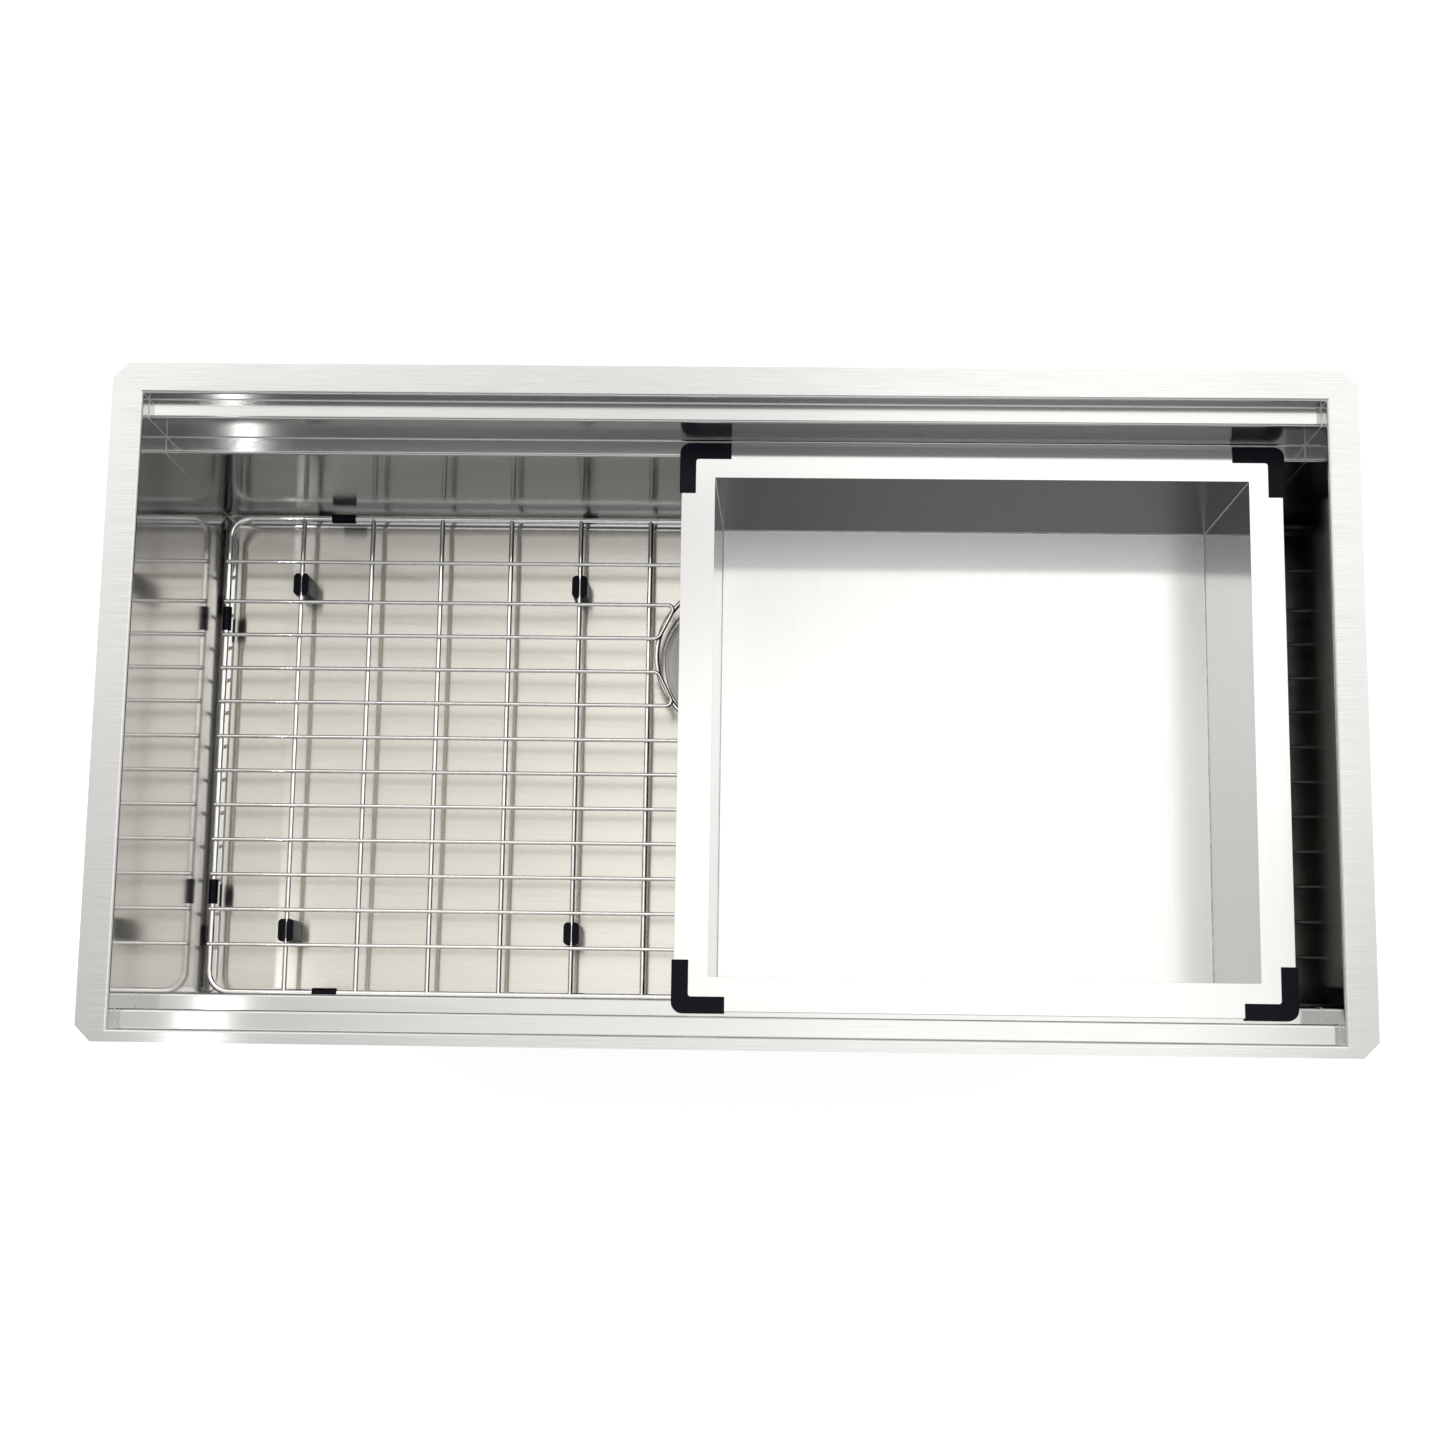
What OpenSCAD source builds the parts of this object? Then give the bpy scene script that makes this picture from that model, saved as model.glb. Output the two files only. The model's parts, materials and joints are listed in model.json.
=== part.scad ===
// Undermount workstation kitchen sink with a sliding tray, a bottom grid and a basket strainer.
// Millimetres, +Z up. The origin is the centre of the bowl's opening, on the top face of the rim.
// +X runs along the sink's length and +Y points to its back, where the tap stands.

/* [Bowl] */
// Length of the opening
opening_length = 843.8; // [780:0.1:1000]
// Width of the opening, front to back
opening_width = 451.4; // [430:0.1:520]
// Depth from the rim to the edge of the floor
bowl_depth = 254; // [245:0.5:300]
// Thickness of the bowl's sheet
sheet = 1.5; // [1:0.1:2]
// Inside radius of the small folds
fold_radius = 0.8; // [0.5:0.1:1.5]
// Inside radius of the bends around the floor
floor_bend = 10; // [6:0.5:14]
// How far the floor falls from its edge to the drain
floor_fall = 6; // [3:0.5:8]

/* [Rim] */
// Width of the rim at the back
rim_back = 22.4; // [15:0.1:40]
// Width of the rim at the front
rim_front = 9.2; // [6:0.1:40]
// Width of the rim at each end
rim_side = 22.6; // [15:0.1:40]
// Size of the cut on the rim's outer corners
rim_chamfer = 10.9; // [4:0.1:13]

/* [Ledges] */
// Depth of the upper ledge below the rim
upper_drop = 15.5; // [10:0.5:25]
// Width of the upper ledge
upper_ledge = 14; // [8:0.5:18]
// Depth of the lower ledge below the rim
lower_drop = 63.5; // [45:0.5:70]
// Width of the lower ledge
lower_ledge = 12.6; // [10:0.1:16]

/* [Drain] */
// Distance from the drain's centre to the bowl's back wall
drain_back = 119.1; // [104:0.1:150]
// Radius of the recess that holds the strainer's flange
recess_radius = 60; // [59:0.5:64]
// Depth of the recess below the floor's lowest point
recess_depth = 3; // [2:0.5:6]
// Radius of the hole in the recess
drain_hole = 44.5; // [44:0.1:46]
// Radius of the strainer's flange
flange_radius = 57.1; // [54:0.1:58]
// Thickness of the strainer's flange
flange_thick = 1.6; // [1:0.1:2.5]
// Radius of the strainer's threaded cup
cup_radius = 43.2; // [42:0.1:43.5]
// Wall of the strainer's cup
cup_wall = 2; // [1.5:0.1:2.5]
// Height of the straight part of the cup
cup_height = 34; // [32:0.5:40]
// Height of the cup's cone
cone_height = 16; // [12:0.5:20]
// Outer radius of the threaded outlet
outlet_radius = 24; // [22:0.1:26]
// Wall of the threaded outlet
outlet_wall = 2.5; // [2:0.1:3]
// Length of the threaded outlet
outlet_length = 22; // [18:0.5:30]
// Thickness of the seal under the flange
seal_thick = 1; // [0.6:0.1:2]
// Thickness of the rubber gasket under the bowl
gasket_thick = 3; // [2:0.1:5]
// Thickness of the fibre ring under the gasket
fibre_thick = 1; // [0.5:0.1:2]
// Height of the lock nut
lock_nut_height = 10; // [8:0.5:12]
// Outer radius of the lock nut
lock_nut_radius = 54; // [51:0.5:57]
// How far the lock nut's lugs stand out
lug_reach = 5; // [3:0.5:7]

/* [Tailpiece] */
// Outer radius of the tailpiece
tail_radius = 19.05; // [16:0.05:20]
// Wall of the tailpiece
tail_wall = 1; // [0.8:0.1:2]
// Length of the tailpiece
tail_length = 101.6; // [60:0.1:200]
// Width of the collar at the tailpiece's top
tail_collar = 3; // [2:0.1:4]
// Thickness of the collar and of the washer above it
tail_seal = 2; // [1:0.1:3]
// Width of the slip nut across its corners
slip_nut_width = 62; // [58:0.5:70]
// How far the slip nut screws up the outlet
slip_nut_grip = 10; // [8:0.5:16]
// Gap between the slip nut's lip and the tailpiece
slip_nut_gap = 1; // [0.8:0.1:1.5]

/* [Basket] */
// Radius of the basket's rim
basket_rim = 40.2; // [38:0.1:40.7]
// Radius of the basket's wall at its top
basket_top = 37.6; // [35:0.1:38]
// Radius of the basket's wall at its bottom
basket_bottom = 31; // [28:0.1:33]
// Height of the basket
basket_height = 29; // [24:0.5:30]
// Thickness of the basket's sheet
basket_sheet = 0.8; // [0.6:0.1:1.2]
// Radius of the holes in the basket
basket_hole = 1.9; // [1:0.1:2.2]
// Holes in each row around the basket's wall
basket_holes = 18; // [12:1:22]
// Radius of the post
post_radius = 2.8; // [2:0.1:3.5]
// Radius of the knob
knob_radius = 9; // [7:0.1:12]
// Height of the knob above the strainer's flange
knob_rise = 4; // [2:0.5:8]
// Thickness of the rubber stopper
stopper_thick = 3.5; // [2.5:0.1:4.5]
// Radius of the rubber stopper
stopper_radius = 34; // [32:0.1:36]
// Width of the bars across the outlet
bar_width = 3; // [2:0.1:4]

/* [Grid] */
// Height of the frame wire's centre above the floor's edge
grid_height = 26; // [20:0.5:30]
// Diameter of the frame wire
frame_wire = 5; // [4:0.1:6]
// Diameter of the wires from front to back
cross_wire = 4; // [3:0.1:5]
// Diameter of the wires along the length
long_wire = 3.2; // [2:0.1:4]
// Diameter of the ring's wire
ring_wire = 4; // [3:0.1:5]
// Gap from the end walls to the frame's centreline
frame_gap_x = 9.5; // [8:0.1:14]
// Gap from the front and back walls to the frame's centreline
frame_gap_y = 6.7; // [6:0.1:12]
// Radius of the frame's corners
frame_corner = 16; // [10:0.5:30]
// Radius of the ring above the drain
ring_radius = 62; // [61.5:0.5:64]
// How far inside the ring's centreline the slanted wires cross it
link_inset = 1.5; // [0.5:0.1:2]
// Distance from the ring's centre to the inner wires that hold it
link_inner = 13.7; // [10:0.1:16]
// Distance from the ring's centre to the outer wires that hold it
link_outer = 41.2; // [36:0.1:44]
// Bend radius where the outer wires turn
link_outer_bend = 4; // [3:0.5:5]
// Bend radius where the inner wires turn
link_inner_bend = 6; // [4:0.5:8]
// Distance from the ring's centre to the first full wire in front of it
front_first = 69.5; // [68:0.5:76]
// Full wires in front of the ring
front_wires = 7; // [3:1:9]
// Distance from the frame to the nearest wire along the length
long_edge = 37.2; // [28:0.1:44]
// Distance from the drain's centre to the nearest wire from front to back
cross_first = 68.8; // [67:0.1:75]
// Distance from the frame to the nearest wire from front to back
cross_edge = 60.1; // [40:0.1:80]
// Wires from front to back on each side of the drain
cross_wires = 6; // [3:1:8]
// How far the welds sink one wire into the next
weld_sink = 0.2; // [0.1:0.05:0.4]
// How far the long wires run past the frame's centreline
wire_overrun = 1.6; // [0:0.1:2.5]

/* [Feet and bumpers] */
// Width of a foot
foot_width = 12.4; // [10:0.1:14]
// Length of a foot along its wire
foot_length = 18; // [14:0.1:19]
// Radius of a foot's upright corners
foot_corner = 3.5; // [2:0.1:4.5]
// Length of the notch at each end of a foot's slot
foot_notch = 3.8; // [2:0.1:5]
// Height of a foot's lips above its wire's centre
foot_lip = 3.6; // [2.5:0.1:4.5]
// Distance from the back feet's centres to the frame's back wire
foot_back = 55.5; // [52:0.5:57]
// Distance from the front feet's centres to the frame's front wire
foot_front = 48.8; // [48:0.1:54]
// Outer diameter of a bumper
bumper_diameter = 7.5; // [7:0.1:9]
// Length of a bumper
bumper_length = 19.5; // [12:0.5:22]
// Distance from the long sides' bumpers to the frame's end wires
bumper_side = 92.4; // [75:0.1:100]

/* [Tray] */
// Length of the tray's flange
tray_length = 440.8; // [300:0.1:500]
// Width of the flange on each side
tray_flange = 24.5; // [18:0.1:30]
// Gap between the tray's floor and the grid below it
tray_lift = 10.8; // [6:0.1:80]
// Thickness of the tray's sheet
tray_sheet = 1.2; // [0.8:0.1:2]
// How far each wall leans inwards from top to bottom
tray_taper = 3; // [0:0.5:6]
// Radius of the tray's upright corners
tray_corner = 0.6; // [0.5:0.1:4]
// Radius of the bend around the tray's floor
tray_bend = 1; // [0.8:0.1:6]
// Gap between the tray's guards and the right end wall
tray_gap = 16.4; // [2:0.1:300]
// Length of each arm of a corner guard
guard_arm = 38; // [25:0.5:60]
// Width of each arm of a corner guard
guard_width = 12; // [10:0.1:16]
// Radius of a guard's outer corner
guard_corner = 8; // [5:0.5:12]
// Radius of a guard's inner corner
guard_inner = 2; // [0.5:0.1:3]
// Thickness of a guard outside the flange
guard_side = 1.6; // [1:0.1:2.5]
// Thickness of a guard above the flange
guard_over = 1; // [0.6:0.1:2]
// Thickness of a guard under the flange
guard_under = 1.5; // [1:0.1:2]

/* [Sound pads] */
// Thickness of the pads
pad_thick = 3; // [2:0.5:6]
// Length of each pad under the floor
floor_pad_length = 300; // [100:1:310]
// Width of each pad under the floor
floor_pad_width = 330; // [150:1:350]
// Distance from the drain to the pads under the floor
floor_pad_gap = 75; // [72:1:90]
// Length of the pads on the long walls
wall_pad_length = 640; // [200:1:760]
// Length of the pads on the end walls
end_pad_length = 300; // [100:1:380]
// Height of the pads on the walls
wall_pad_height = 130; // [60:1:150]
// Distance from the floor's level to the pads on the walls
wall_pad_lift = 30; // [16:1:40]

/* [Clearances] */
// Gap between the guards and the walls beside the lower ledge
track_gap = 2.6; // [1:0.1:5]
// Gap under a guard, and between the stopper and its seat
seat_gap = 0.3; // [0.2:0.05:0.5]
// Gap under the grid's feet at the floor's highest point beneath them
foot_gap = 0.3; // [0.2:0.05:0.5]
// Gap around threads and tubes that screw or slide together
thread_gap = 0.05; // [0.02:0.01:0.2]
// Gap around the post in the strainer's hub
post_gap = 0.5; // [0.3:0.1:0.8]

/* [Hidden] */
$fn = 96;
SIDES = [-1, 1];

fold_out = fold_radius + sheet;
half_x = opening_length / 2;
half_y = opening_width / 2;
mid_y = half_y - upper_ledge;
low_y = mid_y - lower_ledge;
drain_y = low_y - drain_back;
bend_out = floor_bend + sheet;
tie_reach = 1;
tie_skin = 0.2;
cut_height = 50;
bend_z = floor_bend - bowl_depth;
floor_x = half_x - floor_bend;
floor_y = low_y - floor_bend;

seat_z = -bowl_depth - floor_fall - recess_depth;
flange_z = seat_z + seal_thick;
flange_top = flange_z + flange_thick;
cup_inside = cup_radius - cup_wall;
cone_z = flange_top - cup_height;
outlet_z = cone_z - cone_height;
outlet_end = outlet_z - outlet_length;
outlet_inside = outlet_radius - outlet_wall;
gasket_z = seat_z - sheet - gasket_thick;
fibre_z = gasket_z - fibre_thick;
flange_edge = 0.6;
ring_out = flange_radius - flange_edge;

collar_radius = tail_radius + tail_collar;
washer_radius = outlet_radius - 0.3;
tail_top = outlet_end - tail_seal;
slip_top = outlet_end + slip_nut_grip;
slip_bottom = tail_top - 2 * tail_seal - thread_gap;

basket_z = flange_top - basket_sheet;
basket_floor = basket_z - basket_height;
knob_height = 8;
knob_top = flange_top + knob_rise;
cone_slope = (cup_inside - outlet_inside) / cone_height;
stopper_z = cone_z - (cup_inside - stopper_radius) / cone_slope + seat_gap;
stop_nut_height = 3;
hub_drop = 4;
hub_z = outlet_z - hub_drop;
post_tip = 1;
post_end = hub_z - post_tip;

grid_z = grid_height - bowl_depth;
grid_y = -0.9;
weld_z = grid_z + frame_wire / 2;
cross_z = weld_z - cross_wire / 2;
ring_z = weld_z - ring_wire / 2;
long_z = weld_z + long_wire / 2 - weld_sink;
frame_x = half_x - frame_gap_x;
frame_y = low_y - frame_gap_y;
cross_step = (frame_x - cross_edge - cross_first) / (cross_wires - 1);
cross_x = [for (i = [0:cross_wires - 1]) cross_first + i * cross_step];
front_a = drain_y - front_first;
front_b = grid_y - frame_y + long_edge;
front_step = (front_a - front_b) / (front_wires - 1);
straight_y = concat([grid_y + frame_y - long_edge], [for (i = [0:front_wires - 1]) front_a - i * front_step]);
link_angle = asin((link_inner + link_outer) / 2 / ring_radius);
link_line = ring_radius - link_inset;
// A bend draws the wire a hair thinner, and its ends lie inside the straight stretches
bend_thinning = 0.04;
bend_lap = 0.2;
// The bent part of a wire ends beside the first wire from front to back
link_end = cross_first - cross_wire / 2;

foot_x = [cross_x[1], cross_x[cross_wires - 1]];
foot_outer = foot_x[1] + foot_width / 2;
foot_fall = floor_fall * (1 - foot_outer / floor_x);
foot_z = -bowl_depth - foot_fall + foot_gap;
foot_y = [grid_y + frame_y - foot_back, grid_y - frame_y + foot_front];
foot_at = [for (x = foot_x, sx = SIDES, y = foot_y) [sx * x, y]];
bumper_y = [drain_y + (link_inner + link_outer) / 2, front_b + 1.5 * front_step];
bumper_ends = [for (sx = SIDES, y = bumper_y) [sx * frame_x, y, 90]];
bumper_sides = [for (sx = SIDES, sy = SIDES) [sx * (frame_x - bumper_side), grid_y + sy * frame_y, 0]];
bumper_at = concat(bumper_ends, bumper_sides);

tray_half_x = tray_length / 2;
tray_half_y = mid_y - track_gap - guard_side;
tray_z = -lower_drop + seat_gap + guard_under;
tray_top = tray_z + tray_sheet;
tray_bottom = long_z + long_wire / 2 + tray_lift;
tray_x = half_x - tray_gap - guard_side - tray_half_x;
guard_at = [for (sy = [1, -1], sx = SIDES) [sx, sy]];

// Helpers in the plane

module strip(a, b) {
    translate([min(a[0], b[0]), min(a[1], b[1])])
        square([abs(a[0] - b[0]), abs(a[1] - b[1])]);
}

// A quarter of a ring in the quadrant that sx and sy point to
module quarter(centre, inner, outer, sx, sy) {
    translate(centre)
        intersection() {
            difference() {
                circle(outer);
                circle(inner);
            }
            strip([0, 0], [sx * outer, sy * outer]);
        }
}

// What fills the corner between two edges that run from it along sx and sy
module fillet(corner, r, sx, sy) {
    centre = corner + [sx * r, sy * r];
    difference() {
        strip(corner, centre);
        translate(centre)
            circle(r);
    }
}

module rounded_rect(x, y, r) {
    square([2 * x, 2 * (y - r)], center = true);
    square([2 * (x - r), 2 * y], center = true);
    for (sx = SIDES, sy = SIDES)
        translate([sx * (x - r), sy * (y - r)])
            circle(r);
}

// Helpers in space

// The plane shape's axes become Y and Z, and its depth runs along X
module along_x(length) {
    rotate([90, 0, 90])
        linear_extrude(length, center = true)
            children();
}

// The plane shape's axes become X and Z, and its depth runs along Y
module along_y(length) {
    rotate([90, 0, 0])
        linear_extrude(length, center = true)
            children();
}

module at_drain(z) {
    translate([0, drain_y, z])
        children();
}

module ring(inner, outer, height) {
    difference() {
        cylinder(h = height, r = outer);
        translate([0, 0, -1])
            cylinder(h = height + 2, r = inner);
    }
}

// A straight wire between two points at one height
module rod(a, b, z, d) {
    run = b - a;
    translate([a[0], a[1], z])
        rotate([0, 90, atan2(run[1], run[0])])
            cylinder(h = norm(run), d = d, $fn = 32);
}

// A bent wire around a centre, from one angle through a turn
module bent_rod(centre, r, from, turn, z, d) {
    translate([centre[0], centre[1], z])
        rotate(from)
            rotate_extrude(angle = turn, $fn = 64)
                translate([r, 0])
                    circle(d = d, $fn = 32);
}

// The bowl

// Section through the stepped back wall, from the rim's fold to the floor's bend
module stepped_section() {
    strip([half_y, -fold_out], [half_y + sheet, fold_radius - upper_drop]);
    quarter([half_y - fold_radius, fold_radius - upper_drop], fold_radius, fold_out, 1, -1);
    strip([half_y - fold_radius, -upper_drop], [mid_y + fold_out, -upper_drop - sheet]);
    quarter([mid_y + fold_out, -upper_drop - fold_out], fold_radius, fold_out, -1, 1);
    strip([mid_y, -upper_drop - fold_out], [mid_y + sheet, fold_radius - lower_drop]);
    quarter([mid_y - fold_radius, fold_radius - lower_drop], fold_radius, fold_out, 1, -1);
    strip([mid_y - fold_radius, -lower_drop], [low_y + fold_out, -lower_drop - sheet]);
    quarter([low_y + fold_out, -lower_drop - fold_out], fold_radius, fold_out, -1, 1);
    strip([low_y, -lower_drop - fold_out], [low_y + sheet, bend_z]);
}

// Section through a rim and its fold, where the wall's face is at the given place
module rim_section(wall, width) {
    quarter([wall + fold_out, -fold_out], fold_radius, fold_out, -1, 1);
    strip([wall + fold_out, 0], [wall + width, -sheet]);
}

module floor_bend_section(edge) {
    quarter([edge, bend_z], floor_bend, bend_out, 1, -1);
}

// A bar that ties two stretches of sheet where they meet, hidden between the sheet's faces
module tie_bar(length) {
    cube([length - 2 * tie_reach, 2 * tie_reach, sheet - 2 * tie_skin], center = true);
}

module rim_outline() {
    x = half_x + rim_side;
    back = half_y + rim_back;
    front = half_y + rim_front;
    c = rim_chamfer;
    polygon([
        [-x, c - front], [c - x, -front], [x - c, -front], [x, c - front],
        [x, back - c], [x - c, back], [c - x, back], [-x, back - c]
    ]);
}

// The mitred plan of one long side's rim or bend, from its inner line outwards
module mitre_plan(x, y, width) {
    polygon([[-x, y], [x, y], [x + width, y + width], [-x - width, y + width]]);
}

module long_wall(rim_width) {
    along_x(opening_length)
        stepped_section();
    intersection() {
        along_x(opening_length + 2 * rim_width)
            rim_section(half_y, rim_width);
        translate([0, 0, -upper_drop])
            linear_extrude(upper_drop + 1)
                mitre_plan(half_x, half_y, rim_width);
    }
    intersection() {
        along_x(2 * (floor_x + bend_out))
            floor_bend_section(floor_y);
        translate([0, 0, bend_z - bend_out - 1])
            linear_extrude(bend_out + 1)
                mitre_plan(floor_x, floor_y, bend_out);
    }
    translate([0, low_y + sheet / 2, bend_z])
        rotate([90, 0, 0])
            tie_bar(opening_length);
}

// The floor's four slopes as one slab, lowered by drop
module floor_slab(drop, thick) {
    top = -bowl_depth - drop;
    low = top - floor_fall;
    polyhedron(
        points = [
            [-floor_x, -floor_y, top], [floor_x, -floor_y, top], [floor_x, floor_y, top],
            [-floor_x, floor_y, top], [0, drain_y, low],
            [-floor_x, -floor_y, top - thick], [floor_x, -floor_y, top - thick],
            [floor_x, floor_y, top - thick], [-floor_x, floor_y, top - thick],
            [0, drain_y, low - thick]
        ],
        faces = [
            [1, 0, 4], [2, 1, 4], [3, 2, 4], [0, 3, 4],
            [5, 6, 9], [6, 7, 9], [7, 8, 9], [8, 5, 9],
            [0, 1, 6, 5], [1, 2, 7, 6], [2, 3, 8, 7], [3, 0, 5, 8]
        ]
    );
}

module floor_sheet() {
    outer = recess_radius + sheet;
    difference() {
        floor_slab(0, sheet);
        at_drain(seat_z - cut_height / 2)
            cylinder(h = cut_height, r = outer);
    }
    for (side = SIDES)
        translate([0, side * floor_y, -bowl_depth - sheet / 2])
            tie_bar(2 * floor_x);
    intersection() {
        floor_slab(0, floor_fall + recess_depth + 2 * sheet);
        at_drain(seat_z - sheet)
            difference() {
                cylinder(h = cut_height, r = outer);
                translate([0, 0, sheet])
                    cylinder(h = cut_height, r = recess_radius);
                translate([0, 0, -1])
                    cylinder(h = cut_height, r = drain_hole);
            }
    }
}

module bowl_sheet() {
    color("silver") {
        intersection() {
            union() {
                long_wall(rim_back);
                mirror([0, 1, 0])
                    long_wall(rim_front);
            }
            translate([0, 0, -2 * bowl_depth])
                linear_extrude(3 * bowl_depth)
                    rim_outline();
        }
        floor_sheet();
    }
}

// Outline of an end wall's flat plate, which closes the steps of both long walls
module end_outline() {
    polygon([
        [-half_y - sheet, -fold_out], [half_y + sheet, -fold_out],
        [half_y + sheet, -upper_drop - sheet], [mid_y + sheet, -upper_drop - sheet],
        [mid_y + sheet, -lower_drop - sheet], [low_y + sheet, -lower_drop - sheet],
        [low_y + sheet, bend_z], [-low_y - sheet, bend_z],
        [-low_y - sheet, -lower_drop - sheet], [-mid_y - sheet, -lower_drop - sheet],
        [-mid_y - sheet, -upper_drop - sheet], [-half_y - sheet, -upper_drop - sheet]
    ]);
}

module end_rim_plan() {
    far = half_x + 2 * rim_side;
    intersection() {
        rim_outline();
        polygon([
            [half_x, -half_y], [half_x + rim_front, -half_y - rim_front],
            [far, -half_y - rim_front], [far, half_y + rim_back],
            [half_x + rim_back, half_y + rim_back], [half_x, half_y]
        ]);
    }
}

module end_wall() {
    color("silver") {
        translate([half_x + sheet / 2, 0, 0])
            along_x(sheet)
                end_outline();
        intersection() {
            along_y(3 * half_y)
                rim_section(half_x, rim_side);
            translate([0, 0, -upper_drop])
                linear_extrude(upper_drop + 1)
                    end_rim_plan();
        }
        intersection() {
            along_y(3 * half_y)
                floor_bend_section(floor_x);
            translate([0, 0, bend_z - bend_out - 1])
                linear_extrude(bend_out + 1)
                    polygon([
                        [floor_x, -floor_y], [floor_x + bend_out, -floor_y - bend_out],
                        [floor_x + bend_out, floor_y + bend_out], [floor_x, floor_y]
                    ]);
        }
        translate([half_x + sheet / 2, 0, bend_z])
            rotate([90, 0, 90])
                tie_bar(2 * low_y);
    }
}

module right_end_wall() {
    end_wall();
}

module left_end_wall() {
    mirror([1, 0, 0])
        end_wall();
}

// Sound pads

module floor_pad_right() {
    color("dimgray")
        intersection() {
            floor_slab(sheet, pad_thick);
            translate([floor_pad_gap, -floor_pad_width / 2, -2 * bowl_depth])
                cube([floor_pad_length, floor_pad_width, 2 * bowl_depth]);
        }
}

module floor_pad_left() {
    mirror([1, 0, 0])
        floor_pad_right();
}

module back_pad() {
    color("dimgray")
        translate([-wall_pad_length / 2, low_y + sheet, wall_pad_lift - bowl_depth])
            cube([wall_pad_length, pad_thick, wall_pad_height]);
}

module front_pad() {
    mirror([0, 1, 0])
        back_pad();
}

module right_pad() {
    color("dimgray")
        translate([half_x + sheet, -end_pad_length / 2, wall_pad_lift - bowl_depth])
            cube([pad_thick, end_pad_length, wall_pad_height]);
}

module left_pad() {
    mirror([1, 0, 0])
        right_pad();
}

// The drain

module flange_seal() {
    color("gainsboro")
        at_drain(seat_z)
            ring(drain_hole, ring_out, seal_thick);
}

module strainer_body() {
    low = outlet_z - flange_top;
    bottom = outlet_end - flange_top;
    color("lightsteelblue") {
        at_drain(flange_top)
            rotate_extrude()
                polygon([
                    [cup_inside, 0], [ring_out, 0], [flange_radius, -flange_edge],
                    [flange_radius, -flange_thick], [cup_radius, -flange_thick],
                    [cup_radius, -cup_height], [outlet_radius, low], [outlet_radius, bottom],
                    [outlet_inside, bottom], [outlet_inside, low], [cup_inside, -cup_height]
                ]);
        at_drain(hub_z)
            difference() {
                union() {
                    cylinder(h = bar_width, r = 2 * post_radius);
                    for (turn = [0, 90])
                        rotate(turn)
                            translate([-outlet_inside - 0.5, -bar_width / 2, 0])
                                cube([2 * outlet_inside + 1, bar_width, bar_width]);
                }
                translate([0, 0, -1])
                    cylinder(h = bar_width + 2, r = post_radius + post_gap);
            }
    }
}

module rubber_gasket() {
    color("black")
        at_drain(gasket_z)
            ring(drain_hole, ring_out, gasket_thick);
}

module fibre_ring() {
    color("wheat")
        at_drain(fibre_z)
            ring(drain_hole, ring_out, fibre_thick);
}

module lock_nut() {
    lugs = 6;
    lug_width = 14;
    color("darkgray")
        at_drain(fibre_z - lock_nut_height)
            difference() {
                union() {
                    cylinder(h = lock_nut_height, r = lock_nut_radius);
                    for (i = [0:lugs - 1])
                        rotate(i * 360 / lugs)
                            translate([lock_nut_radius - lug_reach, -lug_width / 2, 0])
                                cube([2 * lug_reach, lug_width, lock_nut_height]);
                }
                translate([0, 0, -1])
                    cylinder(h = lock_nut_height + 2, r = cup_radius + thread_gap);
            }
}

module tailpiece_washer() {
    color("whitesmoke")
        at_drain(tail_top)
            ring(tail_radius, washer_radius, tail_seal);
}

module tailpiece() {
    color("lightgray")
        at_drain(tail_top - tail_length)
            difference() {
                union() {
                    cylinder(h = tail_length, r = tail_radius);
                    translate([0, 0, tail_length - tail_seal])
                        cylinder(h = tail_seal, r = collar_radius);
                }
                translate([0, 0, -1])
                    cylinder(h = tail_length + 2, r = tail_radius - tail_wall);
            }
}

module slip_nut() {
    height = slip_top - slip_bottom;
    color("darkgray")
        at_drain(slip_bottom)
            difference() {
                cylinder(h = height, r = slip_nut_width / 2, $fn = 8);
                translate([0, 0, tail_seal])
                    cylinder(h = height, r = outlet_radius + thread_gap);
                translate([0, 0, -1])
                    cylinder(h = height, r = tail_radius + slip_nut_gap);
            }
}

// The basket

module basket() {
    bottom = -basket_height;
    rows = 2;
    row_step = (basket_height - 3 * basket_hole) / rows;
    // Holes around the floor, each ring with its radius as a share of the floor's
    floor_rings = [[12, 0.72], [6, 0.42]];
    color("silver")
        at_drain(basket_z)
            difference() {
                rotate_extrude()
                    polygon([
                        [basket_rim, 0], [basket_rim, basket_sheet],
                        [basket_top - basket_sheet, basket_sheet],
                        [basket_bottom - basket_sheet, bottom + basket_sheet],
                        [0, bottom + basket_sheet], [0, bottom], [basket_bottom, bottom],
                        [basket_top, 0]
                    ]);
                for (row = [1:rows], i = [0:basket_holes - 1])
                    rotate([0, 90, (i + row / 2) * 360 / basket_holes])
                        translate([row * row_step, 0, basket_bottom / 2])
                            cylinder(h = basket_rim - basket_bottom / 2, r = basket_hole, $fn = 24);
                for (ring = floor_rings, i = [1:ring[0]])
                    rotate(i * 360 / ring[0])
                        translate([ring[1] * basket_bottom, 0, bottom - 1])
                            cylinder(h = basket_sheet + 2, r = basket_hole, $fn = 24);
                translate([0, 0, bottom - 1])
                    cylinder(h = basket_sheet + 2, r = post_radius);
            }
}

module basket_post() {
    color("gainsboro")
        at_drain(post_end)
            cylinder(h = knob_top - knob_height / 2 - post_end, r = post_radius);
}

module basket_knob() {
    color("black")
        at_drain(knob_top - knob_height)
            difference() {
                rotate_extrude()
                    polygon([
                        [0, 0], [0.6 * knob_radius, 0], [0.6 * knob_radius, 0.45 * knob_height],
                        [knob_radius, 0.6 * knob_height], [knob_radius, 0.88 * knob_height],
                        [0.85 * knob_radius, knob_height], [0, knob_height]
                    ]);
                translate([0, 0, -1])
                    cylinder(h = knob_height / 2 + 1, r = post_radius);
            }
}

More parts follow.
